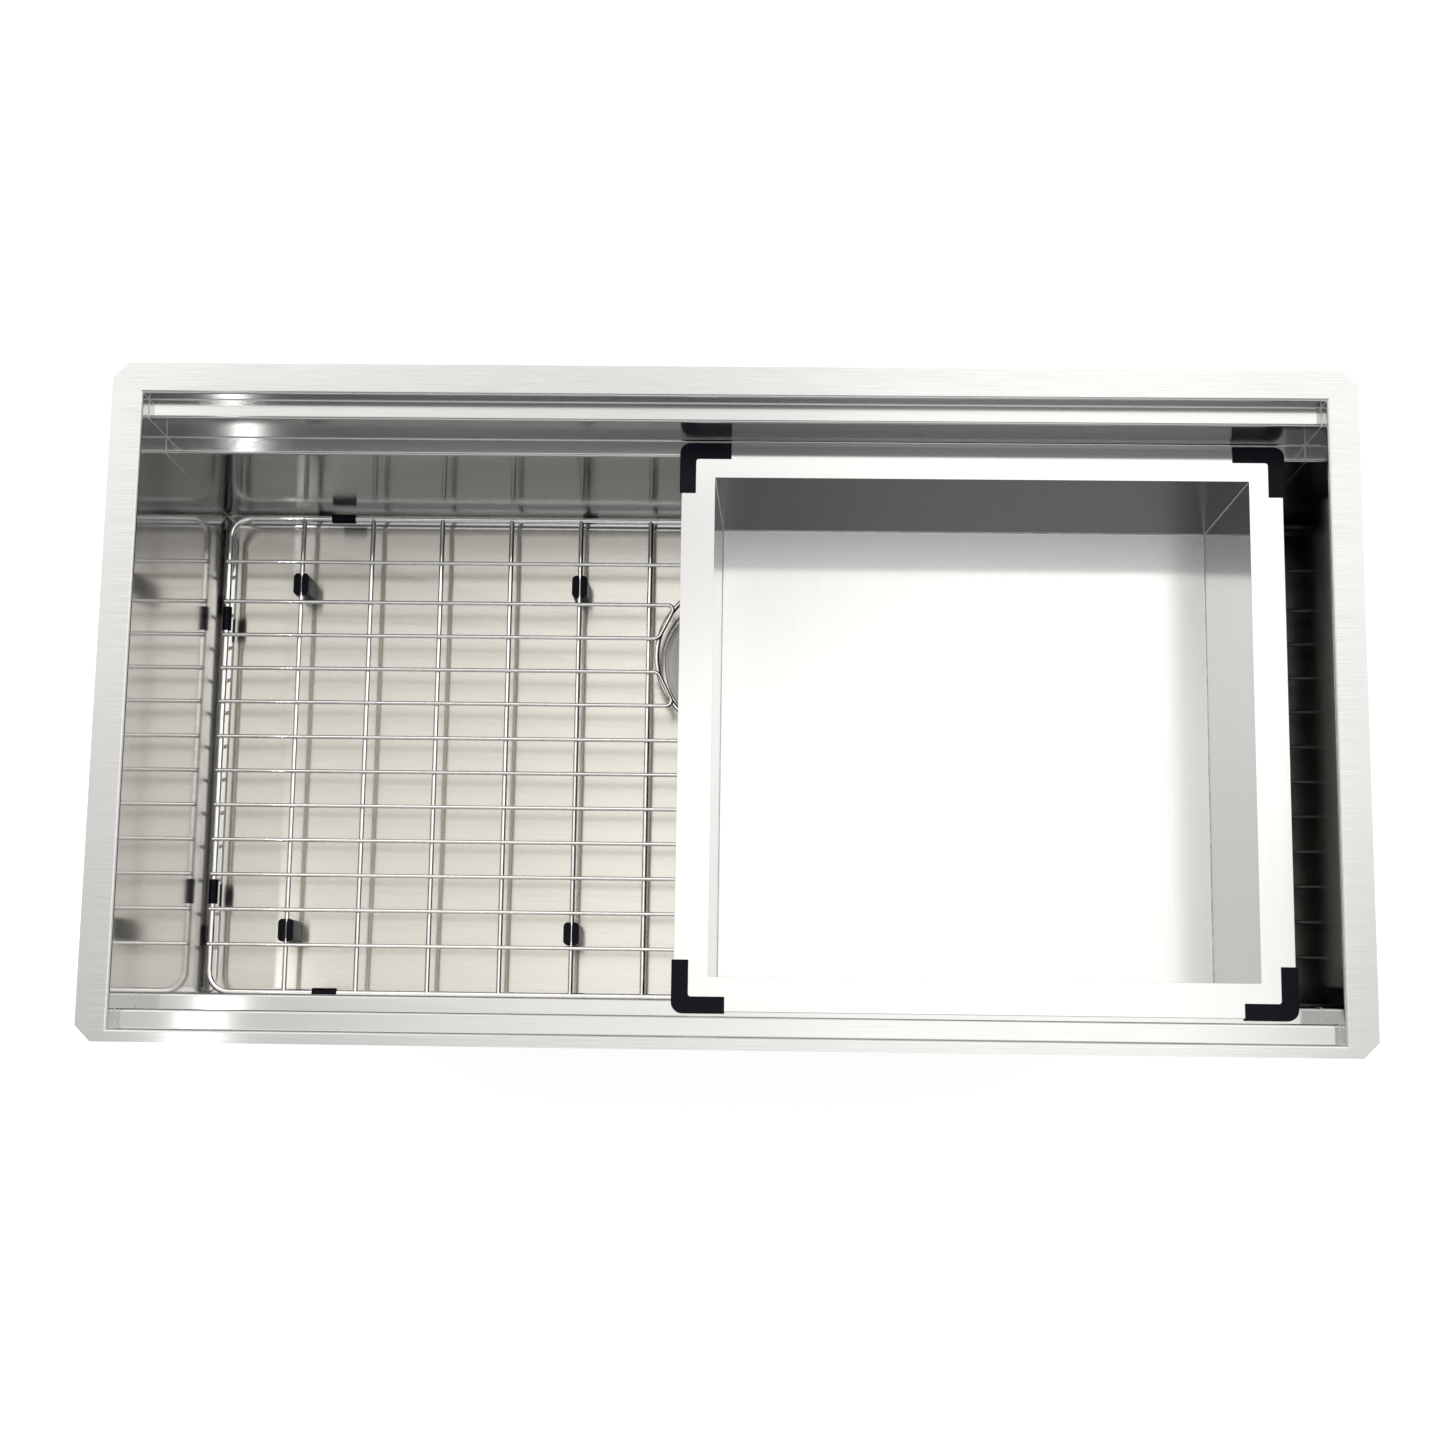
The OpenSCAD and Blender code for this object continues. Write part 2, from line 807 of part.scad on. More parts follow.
module basket_stopper() {
    top = basket_floor - stopper_z;
    shank = 3 * post_radius;
    color("dimgray")
        at_drain(stopper_z)
            difference() {
                union() {
                    cylinder(h = stopper_thick, r1 = stopper_radius, r2 = stopper_radius - 1);
                    cylinder(h = top, r = shank);
                }
                translate([0, 0, -1])
                    cylinder(h = top + 2, r = post_radius);
            }
}

module stopper_nut() {
    color("gainsboro")
        at_drain(stopper_z - stop_nut_height)
            difference() {
                cylinder(h = stop_nut_height, r = 2.2 * post_radius, $fn = 6);
                translate([0, 0, -1])
                    cylinder(h = stop_nut_height + 2, r = post_radius);
            }
}

// The grid

// The frame's wire runs in four straight stretches between its corners
module frame_sides() {
    x = frame_x - frame_corner;
    y = frame_y - frame_corner;
    translate([0, grid_y, 0])
        for (side = SIDES) {
            rod([-x, side * frame_y], [x, side * frame_y], grid_z, frame_wire);
            rod([side * frame_x, -y], [side * frame_x, y], grid_z, frame_wire);
        }
}

module grid_frame() {
    color("gainsboro")
        frame_sides();
}

module grid_corners() {
    x = frame_x - frame_corner;
    y = frame_y - frame_corner;
    color("gainsboro")
        translate([0, grid_y, 0]) {
            bent_rod([x, y], frame_corner, 0, 90, grid_z, frame_wire);
            bent_rod([-x, y], frame_corner, 90, 90, grid_z, frame_wire);
            bent_rod([-x, -y], frame_corner, 180, 90, grid_z, frame_wire);
            bent_rod([x, -y], frame_corner, 270, 90, grid_z, frame_wire);
        }
}

// Repeats what is modelled right of and behind the ring's centre in all four quarters around it
module around_ring() {
    for (turn = [0, 1])
        mirror([turn, 0, 0])
            translate([0, drain_y, 0]) {
                children();
                mirror([0, 1, 0])
                    children();
            }
}

// The bent part of a wire that runs in from the frame, slants across the ring and runs back
module ring_link() {
    turn_outer = 90 + link_angle;
    turn_inner = 90 - link_angle;
    outer_x = (link_line - link_outer * sin(link_angle)) / cos(link_angle);
    inner_x = (link_line - link_inner * sin(link_angle)) / cos(link_angle);
    slant = [-sin(link_angle), cos(link_angle)];
    cut_outer = link_outer_bend * tan(turn_outer / 2);
    cut_inner = link_inner_bend * tan(turn_inner / 2);
    a = [outer_x + cut_outer, link_outer];
    b = [outer_x, link_outer] - cut_outer * slant;
    c = [inner_x, link_inner] + cut_inner * slant;
    d = [inner_x + cut_inner, link_inner];
    bend_wire = long_wire - bend_thinning;
    inner_start = 180 + link_angle;
    rod([link_end, link_outer], a - [bend_lap, 0], long_z, long_wire);
    bent_rod(a - [0, link_outer_bend], link_outer_bend, 90, turn_outer, long_z, bend_wire);
    rod(b + bend_lap * slant, c - bend_lap * slant, long_z, long_wire);
    bent_rod(d + [0, link_inner_bend], link_inner_bend, inner_start, turn_inner, long_z, bend_wire);
    rod(d - [bend_lap, 0], [link_end, link_inner], long_z, long_wire);
}

module grid_ring_links() {
    color("gainsboro")
        around_ring()
            ring_link();
}

module grid_long_wires() {
    end = frame_x + wire_overrun;
    color("gainsboro") {
        for (y = straight_y)
            rod([-end, y], [end, y], long_z, long_wire);
        around_ring()
            for (y = [link_inner, link_outer])
                rod([link_end, y], [end, y], long_z, long_wire);
    }
}

module grid_cross_wires() {
    color("gainsboro")
        difference() {
            for (side = SIDES, x = cross_x)
                rod([side * x, grid_y - frame_y], [side * x, grid_y + frame_y], cross_z, cross_wire);
            frame_sides();
        }
}

module grid_ring() {
    color("gainsboro")
        at_drain(0)
            bent_rod([0, 0], ring_radius, 0, 360, ring_z, ring_wire);
}

// A rubber foot that grips a cross wire through a slot in its top
module grid_foot(place) {
    bore = cross_wire / 2;
    top = cross_z + foot_lip;
    end = foot_length / 2;
    color("black")
        translate([place[0], place[1], 0])
            difference() {
                translate([0, 0, foot_z])
                    linear_extrude(top - foot_z)
                        rounded_rect(foot_width / 2, end, foot_corner);
                rod([0, -end - 1], [0, end + 1], cross_z, cross_wire);
                translate([-0.4, -end - 1, cross_z])
                    cube([0.8, 2 * end + 2, foot_lip + 1]);
                translate([0, 0, cross_z])
                    linear_extrude(foot_lip + 1)
                        for (side = SIDES)
                            polygon([[-bore, side * (end + 1)], [bore, side * (end + 1)],
                                [0, side * (end - foot_notch)]]);
            }
}

// A rubber sleeve around the frame wire
module grid_bumper(place) {
    color("black")
        translate([place[0], place[1], grid_z])
            rotate([0, 90, place[2]])
                difference() {
                    cylinder(h = bumper_length, d = bumper_diameter, center = true, $fn = 48);
                    cylinder(h = bumper_length + 2, d = frame_wire, center = true, $fn = 32);
                }
}

// The tray

// A tapered tub, grown outwards by grow, from its floor's underside or top up to the given height
module tub(grow, top) {
    x = tray_half_x - tray_flange + grow;
    y = tray_half_y - tray_flange + grow;
    corner = tray_corner + grow;
    bend = tray_bend + grow;
    low = tray_bottom + tray_sheet - grow;
    hull() {
        for (sx = SIDES, sy = SIDES) {
            translate([sx * (x - corner), sy * (y - corner), top - 0.01])
                cylinder(h = 0.01, r = corner, $fn = 24);
            translate([sx * (x - tray_taper - bend), sy * (y - tray_taper - bend), low + bend])
                sphere(r = bend, $fn = 24);
        }
    }
}

module tray_body() {
    color("whitesmoke")
        translate([tray_x, 0, 0])
            difference() {
                union() {
                    translate([0, 0, tray_z])
                        linear_extrude(tray_sheet)
                            rounded_rect(tray_half_x, tray_half_y, guard_corner - guard_side);
                    tub(tray_sheet, tray_z + tray_sheet / 2);
                }
                tub(0, tray_top + 1);
            }
}

// A rubber corner guard that wraps the flange's edge, at the corner that place points to
module tray_guard(place) {
    arm = guard_arm;
    reach_x = tray_half_x + guard_side;
    reach_y = tray_half_y + guard_side;
    base = -lower_drop + seat_gap;
    height = guard_under + tray_sheet + guard_over;
    color("black")
        translate([tray_x, 0, 0])
            difference() {
                translate([place[0] * reach_x, place[1] * reach_y, base])
                    linear_extrude(height) {
                        strip([0, -place[1] * guard_corner], [-place[0] * guard_width, -place[1] * arm]);
                        strip([-place[0] * guard_corner, 0], [-place[0] * arm, -place[1] * guard_width]);
                        intersection() {
                            translate([-place[0] * guard_corner, -place[1] * guard_corner])
                                circle(guard_corner);
                            strip([0, 0], [-place[0] * guard_width, -place[1] * guard_width]);
                        }
                        strip([-place[0] * guard_corner, -place[1] * guard_corner],
                            [-place[0] * guard_width, -place[1] * guard_width]);
                        fillet([-place[0] * guard_width, -place[1] * guard_width],
                            guard_inner, -place[0], -place[1]);
                    }
                translate([0, 0, tray_z])
                    linear_extrude(tray_sheet)
                        rounded_rect(tray_half_x, tray_half_y, guard_corner - guard_side);
            }
}

bowl_sheet();
left_end_wall();
right_end_wall();
floor_pad_left();
floor_pad_right();
front_pad();
back_pad();
left_pad();
right_pad();
flange_seal();
strainer_body();
rubber_gasket();
fibre_ring();
lock_nut();
tailpiece_washer();
tailpiece();
slip_nut();
basket();
basket_post();
basket_knob();
basket_stopper();
stopper_nut();
grid_frame();
grid_corners();
grid_long_wires();
grid_ring_links();
grid_cross_wires();
grid_ring();
for (i = [1:8]) grid_foot(foot_at[i - 1]);
for (i = [1:8]) grid_bumper(bumper_at[i - 1]);
tray_body();
for (i = [1:4]) tray_guard(guard_at[i - 1]);
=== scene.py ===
import json
import math

import bpy
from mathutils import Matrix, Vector

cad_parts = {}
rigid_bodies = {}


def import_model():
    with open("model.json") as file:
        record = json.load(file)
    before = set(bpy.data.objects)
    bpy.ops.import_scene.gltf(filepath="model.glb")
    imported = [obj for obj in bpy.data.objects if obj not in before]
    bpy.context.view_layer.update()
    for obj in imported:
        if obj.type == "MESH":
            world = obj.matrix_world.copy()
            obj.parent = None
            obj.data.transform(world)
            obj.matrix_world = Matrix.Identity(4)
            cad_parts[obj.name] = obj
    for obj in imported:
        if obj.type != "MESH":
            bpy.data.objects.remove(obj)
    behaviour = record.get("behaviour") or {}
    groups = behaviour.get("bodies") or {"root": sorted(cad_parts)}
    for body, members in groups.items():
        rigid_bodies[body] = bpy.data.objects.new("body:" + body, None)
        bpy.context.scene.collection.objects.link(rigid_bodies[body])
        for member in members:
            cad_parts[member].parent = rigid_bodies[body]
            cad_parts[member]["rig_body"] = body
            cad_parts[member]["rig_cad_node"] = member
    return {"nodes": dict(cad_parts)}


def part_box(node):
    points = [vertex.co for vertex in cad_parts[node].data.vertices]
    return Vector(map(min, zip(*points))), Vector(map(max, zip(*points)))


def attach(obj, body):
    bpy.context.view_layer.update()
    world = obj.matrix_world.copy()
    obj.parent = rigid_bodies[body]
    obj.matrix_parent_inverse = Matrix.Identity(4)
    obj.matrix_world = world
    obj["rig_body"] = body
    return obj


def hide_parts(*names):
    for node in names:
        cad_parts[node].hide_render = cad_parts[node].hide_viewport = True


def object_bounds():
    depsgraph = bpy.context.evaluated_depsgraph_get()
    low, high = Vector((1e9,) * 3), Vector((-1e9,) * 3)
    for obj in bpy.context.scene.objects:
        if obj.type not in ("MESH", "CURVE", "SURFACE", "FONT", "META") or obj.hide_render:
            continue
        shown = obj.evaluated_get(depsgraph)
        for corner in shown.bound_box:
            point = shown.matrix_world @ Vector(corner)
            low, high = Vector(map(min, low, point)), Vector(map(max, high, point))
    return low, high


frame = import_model()
CAD_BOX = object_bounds()

bl_info = {
    "name": "Workstation sink",
    "version": (1, 0, 0),
    "blender": (4, 5, 0),
    "location": "View3D > Sidebar > Sink",
    "description": "Finishes a workstation sink in brushed steel, rubber and plastic, and lights it",
    "category": "Object",
}

# Sizes in metres, in the sink's own frame: the rim's top is at Z 0, and Y points to the back.

# The bowl
SHEET = 0.0015
UPPER_DROP = 0.0155
LOWER_DROP = 0.0635
UPPER_LEDGE = 0.014
LOWER_LEDGE = 0.0126
FLOOR_DEPTH = 0.254
FLOOR_BEND = 0.010
END_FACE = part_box("right_pad")[0].x - SHEET
LOW_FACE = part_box("back_pad")[0].y - SHEET
MID_FACE = LOW_FACE + LOWER_LEDGE
TOP_FACE = MID_FACE + UPPER_LEDGE
TAIL_LOW, TAIL_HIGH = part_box("tailpiece")
DRAIN = Vector(((TAIL_LOW.x + TAIL_HIGH.x) / 2, (TAIL_LOW.y + TAIL_HIGH.y) / 2, 0))

# The grid's crossings: columns to each side of the middle, rows from the middle to the front and one at
# the back, and the rows of the ring's links, from the drain
FIRST_COLUMN = 0.0688
CROSS_STEP = 0.0567
COLUMNS = 6
FIRST_ROW = 0.0105
LONG_STEP = 0.027767
FRONT_ROWS = 7
BACK_ROW = 0.1543
LINK_ROWS = (-0.0412, -0.0137, 0.0137, 0.0412)
CROSSING_Z = -0.2256

# The tray, whose welds are a share of the bowl's in size
TRAY_LOW, TRAY_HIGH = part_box("tray_body")
TRAY_MIDDLE = (TRAY_LOW.x + TRAY_HIGH.x) / 2
TRAY_SHEET = 0.0012
TRAY_FLANGE = 0.0245
TRAY_TAPER = 0.003
TRAY_BEND = 0.001
TRAY_WELD = 0.7

# How far the middle of a quarter bend lies in from its sharp corner, in bend radii
BEND_MIDDLE = 0.3

PAD_EDGE = 0.0008
MERGE = 0.00001
SIDES = (-1, 1)
CORNERS = [(sx, sy) for sx in SIDES for sy in SIDES]


# Modelling helpers


def only(piece):
    """Selects one piece alone and makes it the active one."""
    bpy.ops.object.select_all(action="DESELECT")
    piece.select_set(True)
    bpy.context.view_layer.objects.active = piece


def name_piece(piece, name):
    piece.name = name
    piece.data.name = name


def merged_copy(node, name):
    """A copy of a CAD solid with its loose triangles merged and its flat faces joined again."""
    only(frame["nodes"][node])
    bpy.ops.object.duplicate()
    piece = bpy.context.object
    bpy.ops.object.parent_clear(type="CLEAR_KEEP_TRANSFORM")
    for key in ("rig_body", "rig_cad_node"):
        del piece[key]
    piece.data.materials.clear()
    name_piece(piece, name)
    bpy.ops.object.mode_set(mode="EDIT")
    bpy.ops.mesh.select_all(action="SELECT")
    bpy.ops.mesh.remove_doubles(threshold=MERGE)
    bpy.ops.mesh.dissolve_limited(angle_limit=math.radians(0.4))
    bpy.ops.object.mode_set(mode="OBJECT")
    return piece


def apply_modifier(piece, kind, **settings):
    only(piece)
    bpy.ops.object.modifier_add(type=kind)
    modifier = piece.modifiers[-1]
    for key, value in settings.items():
        setattr(modifier, key, value)
    bpy.ops.object.modifier_apply(modifier=modifier.name)


def soften(piece, width, segments=2, angle=35):
    """Rounds the piece's sharp edges by width and leaves its flat faces flat."""
    apply_modifier(
        piece, "BEVEL", width=width, segments=segments, limit_method="ANGLE",
        angle_limit=math.radians(angle), use_clamp_overlap=True,
    )
    smooth(piece, angle)


def smooth(piece, angle=35):
    only(piece)
    bpy.ops.object.shade_smooth_by_angle(angle=math.radians(angle))
    apply_modifier(piece, "WEIGHTED_NORMAL", keep_sharp=True)


def settle(piece, body, slot, material, *nodes):
    """Puts the piece's place into its mesh, gives it its finish and lets it ride on its body."""
    only(piece)
    bpy.ops.object.transform_apply(location=True, rotation=True, scale=True)
    if material is not None:
        piece.data.materials.clear()
        piece.data.materials.append(material)
    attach(piece, body)
    if nodes:
        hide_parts(*nodes)


def join(pieces, name):
    """Joins pieces into one, under the given name."""
    bpy.ops.object.select_all(action="DESELECT")
    for piece in pieces:
        piece.select_set(True)
    bpy.context.view_layer.objects.active = pieces[0]
    bpy.ops.object.join()
    name_piece(pieces[0], name)
    return pieces[0]


def point_path(name, points):
    """An edge path through points, drawn out vertex by vertex from the first."""
    points = [Vector(p) for p in points]
    bpy.ops.object.select_all(action="DESELECT")
    bpy.ops.mesh.primitive_plane_add(size=MERGE, location=points[0])
    path = bpy.context.object
    name_piece(path, name)
    bpy.ops.object.mode_set(mode="EDIT")
    bpy.ops.mesh.select_mode(type="VERT")
    bpy.ops.mesh.merge(type="CENTER")
    for start, end in zip(points, points[1:]):
        bpy.ops.mesh.extrude_vertices_move(TRANSFORM_OT_translate={"value": end - start})
    bpy.ops.object.mode_set(mode="OBJECT")
    bpy.ops.object.transform_apply(location=True, rotation=True, scale=True)
    return path


def bead(name, points, radius):
    """A thin weld bead along points, held close in its corners."""
    tight = []
    for start, end in zip(points, points[1:]):
        start, end = Vector(start), Vector(end)
        step = (end - start).normalized() * 3 * radius
        tight.append(start)
        if (end - start).length > 9 * radius:
            tight += [start + step, end - step]
    path = point_path(name, [*tight, points[-1]])
    bpy.ops.object.modifier_add(type="SKIN")
    for vertex in path.data.skin_vertices[0].data:
        vertex.radius = (radius, radius)
    bpy.ops.object.modifier_apply(modifier=path.modifiers[-1].name)
    apply_modifier(path, "SUBSURF", levels=1, render_levels=1)
    only(path)
    bpy.ops.object.shade_smooth()
    return path


def lathe(name, profile, centre, steps=48):
    """Turns a profile of (radius, height) points around the vertical axis through centre."""
    piece = point_path(name, [Vector((centre[0] + r, centre[1], centre[2] + z)) for r, z in profile])
    bpy.ops.object.mode_set(mode="EDIT")
    bpy.ops.mesh.select_all(action="SELECT")
    bpy.ops.mesh.spin(steps=steps, angle=2 * math.pi, center=centre, axis=(0, 0, 1))
    bpy.ops.mesh.select_all(action="SELECT")
    bpy.ops.mesh.remove_doubles(threshold=MERGE)
    bpy.ops.mesh.normals_make_consistent(inside=False)
    bpy.ops.object.mode_set(mode="OBJECT")
    return piece


# Material helpers


def add(tree, kind, inputs=(), **settings):
    """Adds a node. Each input is a value, or another node's output."""
    node = tree.nodes.new(kind)
    for key, value in settings.items():
        setattr(node, key, value)
    for socket, value in dict(inputs).items():
        if isinstance(value, bpy.types.NodeSocket):
            tree.links.new(value, node.inputs[socket])
        else:
            node.inputs[socket].default_value = value
    return node


def new_material(name, colour, rough, **values):
    """A Principled material with constant values, and its tree and shader to build on."""
    material = bpy.data.materials.new(name)
    material.use_nodes = True
    tree = material.node_tree
    shader = tree.nodes["Principled BSDF"]
    shader.inputs["Base Color"].default_value = (*colour, 1)
    shader.inputs["Roughness"].default_value = rough
    for key, value in values.items():
        shader.inputs[key.replace("_", " ").title().replace("Ior", "IOR")].default_value = value
    return material, tree, shader


def object_place(tree):
    return add(tree, "ShaderNodeTexCoord").outputs["Object"]


def drawn_noise(tree, place, per_metre, detail=2.0, rough=0.5):
    """Noise with its own count per metre along each axis, so that it can be drawn out into lines."""
    drawn = add(tree, "ShaderNodeMapping", {"Vector": place, "Scale": per_metre})
    noise = add(tree, "ShaderNodeTexNoise", {
        "Vector": drawn.outputs["Vector"], "Scale": 1.0, "Detail": detail, "Roughness": rough,
    })
    return noise.outputs["Fac"]


def remap(tree, value, low, high, to_low, to_high):
    spread = add(tree, "ShaderNodeMapRange", {
        "Value": value, "From Min": low, "From Max": high, "To Min": to_low, "To Max": to_high,
    })
    return spread.outputs["Result"]


def ease(tree, value, low, high, to_low, to_high):
    """Remaps a value with soft ends."""
    spread = add(tree, "ShaderNodeMapRange", {
        "Value": value, "From Min": low, "From Max": high, "To Min": to_low, "To Max": to_high,
    }, interpolation_type="SMOOTHSTEP")
    return spread.outputs["Result"]


def maths(tree, operation, a, b):
    return add(tree, "ShaderNodeMath", {0: a, 1: b}, operation=operation).outputs[0]


def blend_colour(tree, factor, first, second):
    mix = add(tree, "ShaderNodeMix", {0: factor, 6: first, 7: second}, data_type="RGBA")
    return mix.outputs[2]


def shade(colour, factor):
    return (*[min(1.0, c * factor) for c in colour], 1)


def vary(tree, shader, value, span, first, second):
    """Lets the shader's colour run from the first to the second as the value crosses a span."""
    tone = remap(tree, value, span[0], span[1], 0.0, 1.0)
    tree.links.new(blend_colour(tree, tone, first, second), shader.inputs["Base Color"])


def dull(tree, shader, value, rougher, smoother):
    """Lets the shader's roughness run from one to the other with the value."""
    tree.links.new(remap(tree, value, 0.3, 0.7, rougher, smoother), shader.inputs["Roughness"])


def bump(tree, shader, height, distance, strength=1.0):
    relief = add(tree, "ShaderNodeBump", {"Height": height, "Distance": distance, "Strength": strength})
    tree.links.new(relief.outputs["Normal"], shader.inputs["Normal"])


def brushed_steel(name, colour, rough, along, contrast=0.04, depth=0.000001, directional=0.89):
    """Sheet steel brushed along one axis: lines in its colour, gloss and height, and a wide cloudiness."""
    material, tree, shader = new_material(name, colour, rough, metallic=1.0)
    place = object_place(tree)
    axis = Vector((along == "X", along == "Y", along == "Z"))
    across = Vector((1, 1, 1)) - axis
    fine = drawn_noise(tree, place, across * 1300 + axis * 25, 2.0, 0.6)
    wide = drawn_noise(tree, place, across * 110 + axis * 4, 2.0)
    cloud = drawn_noise(tree, place, (7, 7, 7), 3.0)
    mixed = maths(tree, "ADD", maths(tree, "MULTIPLY", fine, 0.6), maths(tree, "MULTIPLY", wide, 0.15))
    mixed = maths(tree, "ADD", mixed, maths(tree, "MULTIPLY", cloud, 0.25))
    vary(tree, shader, mixed, (0.3, 0.7), shade(colour, 1 - contrast), shade(colour, 1 + contrast))
    dull(tree, shader, mixed, rough * 1.1, rough * 0.9)
    shader.inputs["Anisotropic"].default_value = directional
    shader.inputs["Anisotropic Rotation"].default_value = 0.25
    grain = add(tree, "ShaderNodeCombineXYZ", {"X": axis.x, "Y": axis.y, "Z": axis.z})
    tree.links.new(grain.outputs["Vector"], shader.inputs["Tangent"])
    bump(tree, shader, fine, depth)
    return material


def turned_steel(name, colour, rough):
    """Steel brushed in circles around the drain."""
    material, tree, shader = new_material(name, colour, rough, metallic=1.0)
    place = object_place(tree)
    moved = add(tree, "ShaderNodeMapping", {"Vector": place, "Location": -DRAIN}).outputs["Vector"]
    parts = add(tree, "ShaderNodeSeparateXYZ", {"Vector": moved}).outputs
    flat = add(tree, "ShaderNodeCombineXYZ", {"X": parts["X"], "Y": parts["Y"]})
    radius = add(tree, "ShaderNodeVectorMath", {0: flat.outputs["Vector"]}, operation="LENGTH")
    rings = add(tree, "ShaderNodeCombineXYZ", {"X": radius.outputs["Value"], "Z": parts["Z"]})
    fine = drawn_noise(tree, rings.outputs["Vector"], (1400, 1, 1400), 3.0, 0.6)
    cloud = drawn_noise(tree, place, (40, 40, 40), 2.0)
    mixed = maths(tree, "ADD", maths(tree, "MULTIPLY", fine, 0.75), maths(tree, "MULTIPLY", cloud, 0.25))
    vary(tree, shader, mixed, (0.3, 0.7), shade(colour, 0.88), shade(colour, 1.1))
    dull(tree, shader, mixed, rough * 1.2, rough * 0.8)
    bump(tree, shader, fine, 0.000006)
    return material


def drawn_wire(name, colour, rough, mottle=0.06):
    """Electropolished wire: smooth, with faint draw marks and a duller skin here and there."""
    material, tree, shader = new_material(name, colour, rough, metallic=1.0)
    place = object_place(tree)
    spots = drawn_noise(tree, place, (220, 220, 220), 3.0)
    vary(tree, shader, spots, (0.35, 0.65), shade(colour, 1 - mottle), shade(colour, 1 + mottle))
    dull(tree, shader, spots, rough * (1 + 4 * mottle), rough * (1 - 3 * mottle))
    bump(tree, shader, drawn_noise(tree, place, (900, 900, 900)), 0.000002)
    return material


def moulded(name, colour, rough, pores, depth, bloom=1.3, **values):
    """Rubber or plastic with fine moulded pores, and paler where it is worn."""
    material, tree, shader = new_material(name, colour, rough, **values)
    place = object_place(tree)
    wear = drawn_noise(tree, place, (60, 60, 60), 4.0)
    vary(tree, shader, wear, (0.4, 0.75), shade(colour, 1.0), shade(colour, bloom))
    dull(tree, shader, wear, rough * 0.85, rough * 1.15)
    bump(tree, shader, drawn_noise(tree, place, (pores, pores, pores), 3.0), depth)
    return material


def stippled_pad(name, colour):
    """Heavy sound-deadening rubber with a pebbled face."""
    material, tree, shader = new_material(name, colour, 0.72)
    place = object_place(tree)
    pebbles = add(tree, "ShaderNodeTexVoronoi", {"Vector": place, "Scale": 420.0}, feature="SMOOTH_F1")
    height = maths(tree, "SUBTRACT", 1.0, pebbles.outputs["Distance"])
    dust = drawn_noise(tree, place, (25, 25, 25), 5.0)
    vary(tree, shader, dust, (0.35, 0.7), shade(colour, 0.9), shade(colour, 1.7))
    bump(tree, shader, height, 0.0004, 0.7)
    return material


def cast_metal(name, colour, rough):
    """Die-cast metal with a slightly grainy skin."""
    material, tree, shader = new_material(name, colour, rough, metallic=1.0)
    place = object_place(tree)
    skin = drawn_noise(tree, place, (500, 500, 500), 4.0, 0.6)
    stain = drawn_noise(tree, place, (45, 45, 45), 3.0)
    vary(tree, shader, stain, (0.3, 0.7), shade(colour, 0.85), shade(colour, 1.1))
    dull(tree, shader, skin, rough * 0.85, rough * 1.2)
    bump(tree, shader, skin, 0.00003)
    return material


def pressed_fibre(name, colour):
    """Pressed fibre washer board, with its fibres in its colour and surface."""
    material, tree, shader = new_material(name, colour, 0.85)
    place = object_place(tree)
    fibres = drawn_noise(tree, place, (900, 250, 1500), 5.0, 0.7)
    vary(tree, shader, fibres, (0.3, 0.7), shade(colour, 0.75), shade(colour, 1.15))
    bump(tree, shader, fibres, 0.00008)
    return material


# Properties


def colour_property(name, description, default):
    return bpy.props.FloatVectorProperty(
        name=name, description=description, subtype="COLOR", size=3, min=0, max=1, default=default,
    )


class SinkFinish(bpy.types.PropertyGroup):
    """Colours and small sizes of the sink's finish."""

    bowl_colour: colour_property("Bowl steel", "Colour of the bowl's brushed sheet", (0.645, 0.64, 0.63))
    # The floor's colour is the steel's own plus a painted warm, paler tint. The tint stands in for the warm
    # light that falls on the floor.
    floor_colour_with_warm_light: colour_property("Floor steel", "Colour of the bowl's floor", (0.69, 0.67, 0.62))
    tray_colour: colour_property("Tray steel", "Colour of the tray's brushed sheet", (0.745, 0.745, 0.74))
    wire_colour: colour_property("Wire", "Colour of the grid's polished wire", (0.93, 0.92, 0.90))
    rubber_colour: colour_property("Rubber", "Colour of the feet and guards", (0.003, 0.003, 0.008))
    bowl_gloss: bpy.props.FloatProperty(
        name="Bowl roughness", description="Roughness of the bowl's sheet", default=0.125,
        min=0.05, max=0.5)
    tray_gloss: bpy.props.FloatProperty(
        name="Tray roughness", description="Roughness of the tray's sheet", default=0.14,
        min=0.05, max=0.5)
    edge_radius: bpy.props.FloatProperty(
        name="Edge radius", description="Rounding of the cut edges of the sheet", default=0.0002,
        min=0.00005, max=0.0005, unit="LENGTH")
    weld_radius: bpy.props.FloatProperty(
        name="Weld radius", description="Size of the ground welds in the bowl's corners", default=0.0005,
        min=0.0003, max=0.0015, unit="LENGTH")
    spot_weld: bpy.props.FloatProperty(
        name="Spot weld radius", description="Size of the welds at the grid's crossings", default=0.0022,
        min=0.0015, max=0.003, unit="LENGTH")
    rubber_edge: bpy.props.FloatProperty(
        name="Rubber edge radius", description="Rounding of the rubber pieces' edges", default=0.0005,
        min=0.0002, max=0.001, unit="LENGTH")


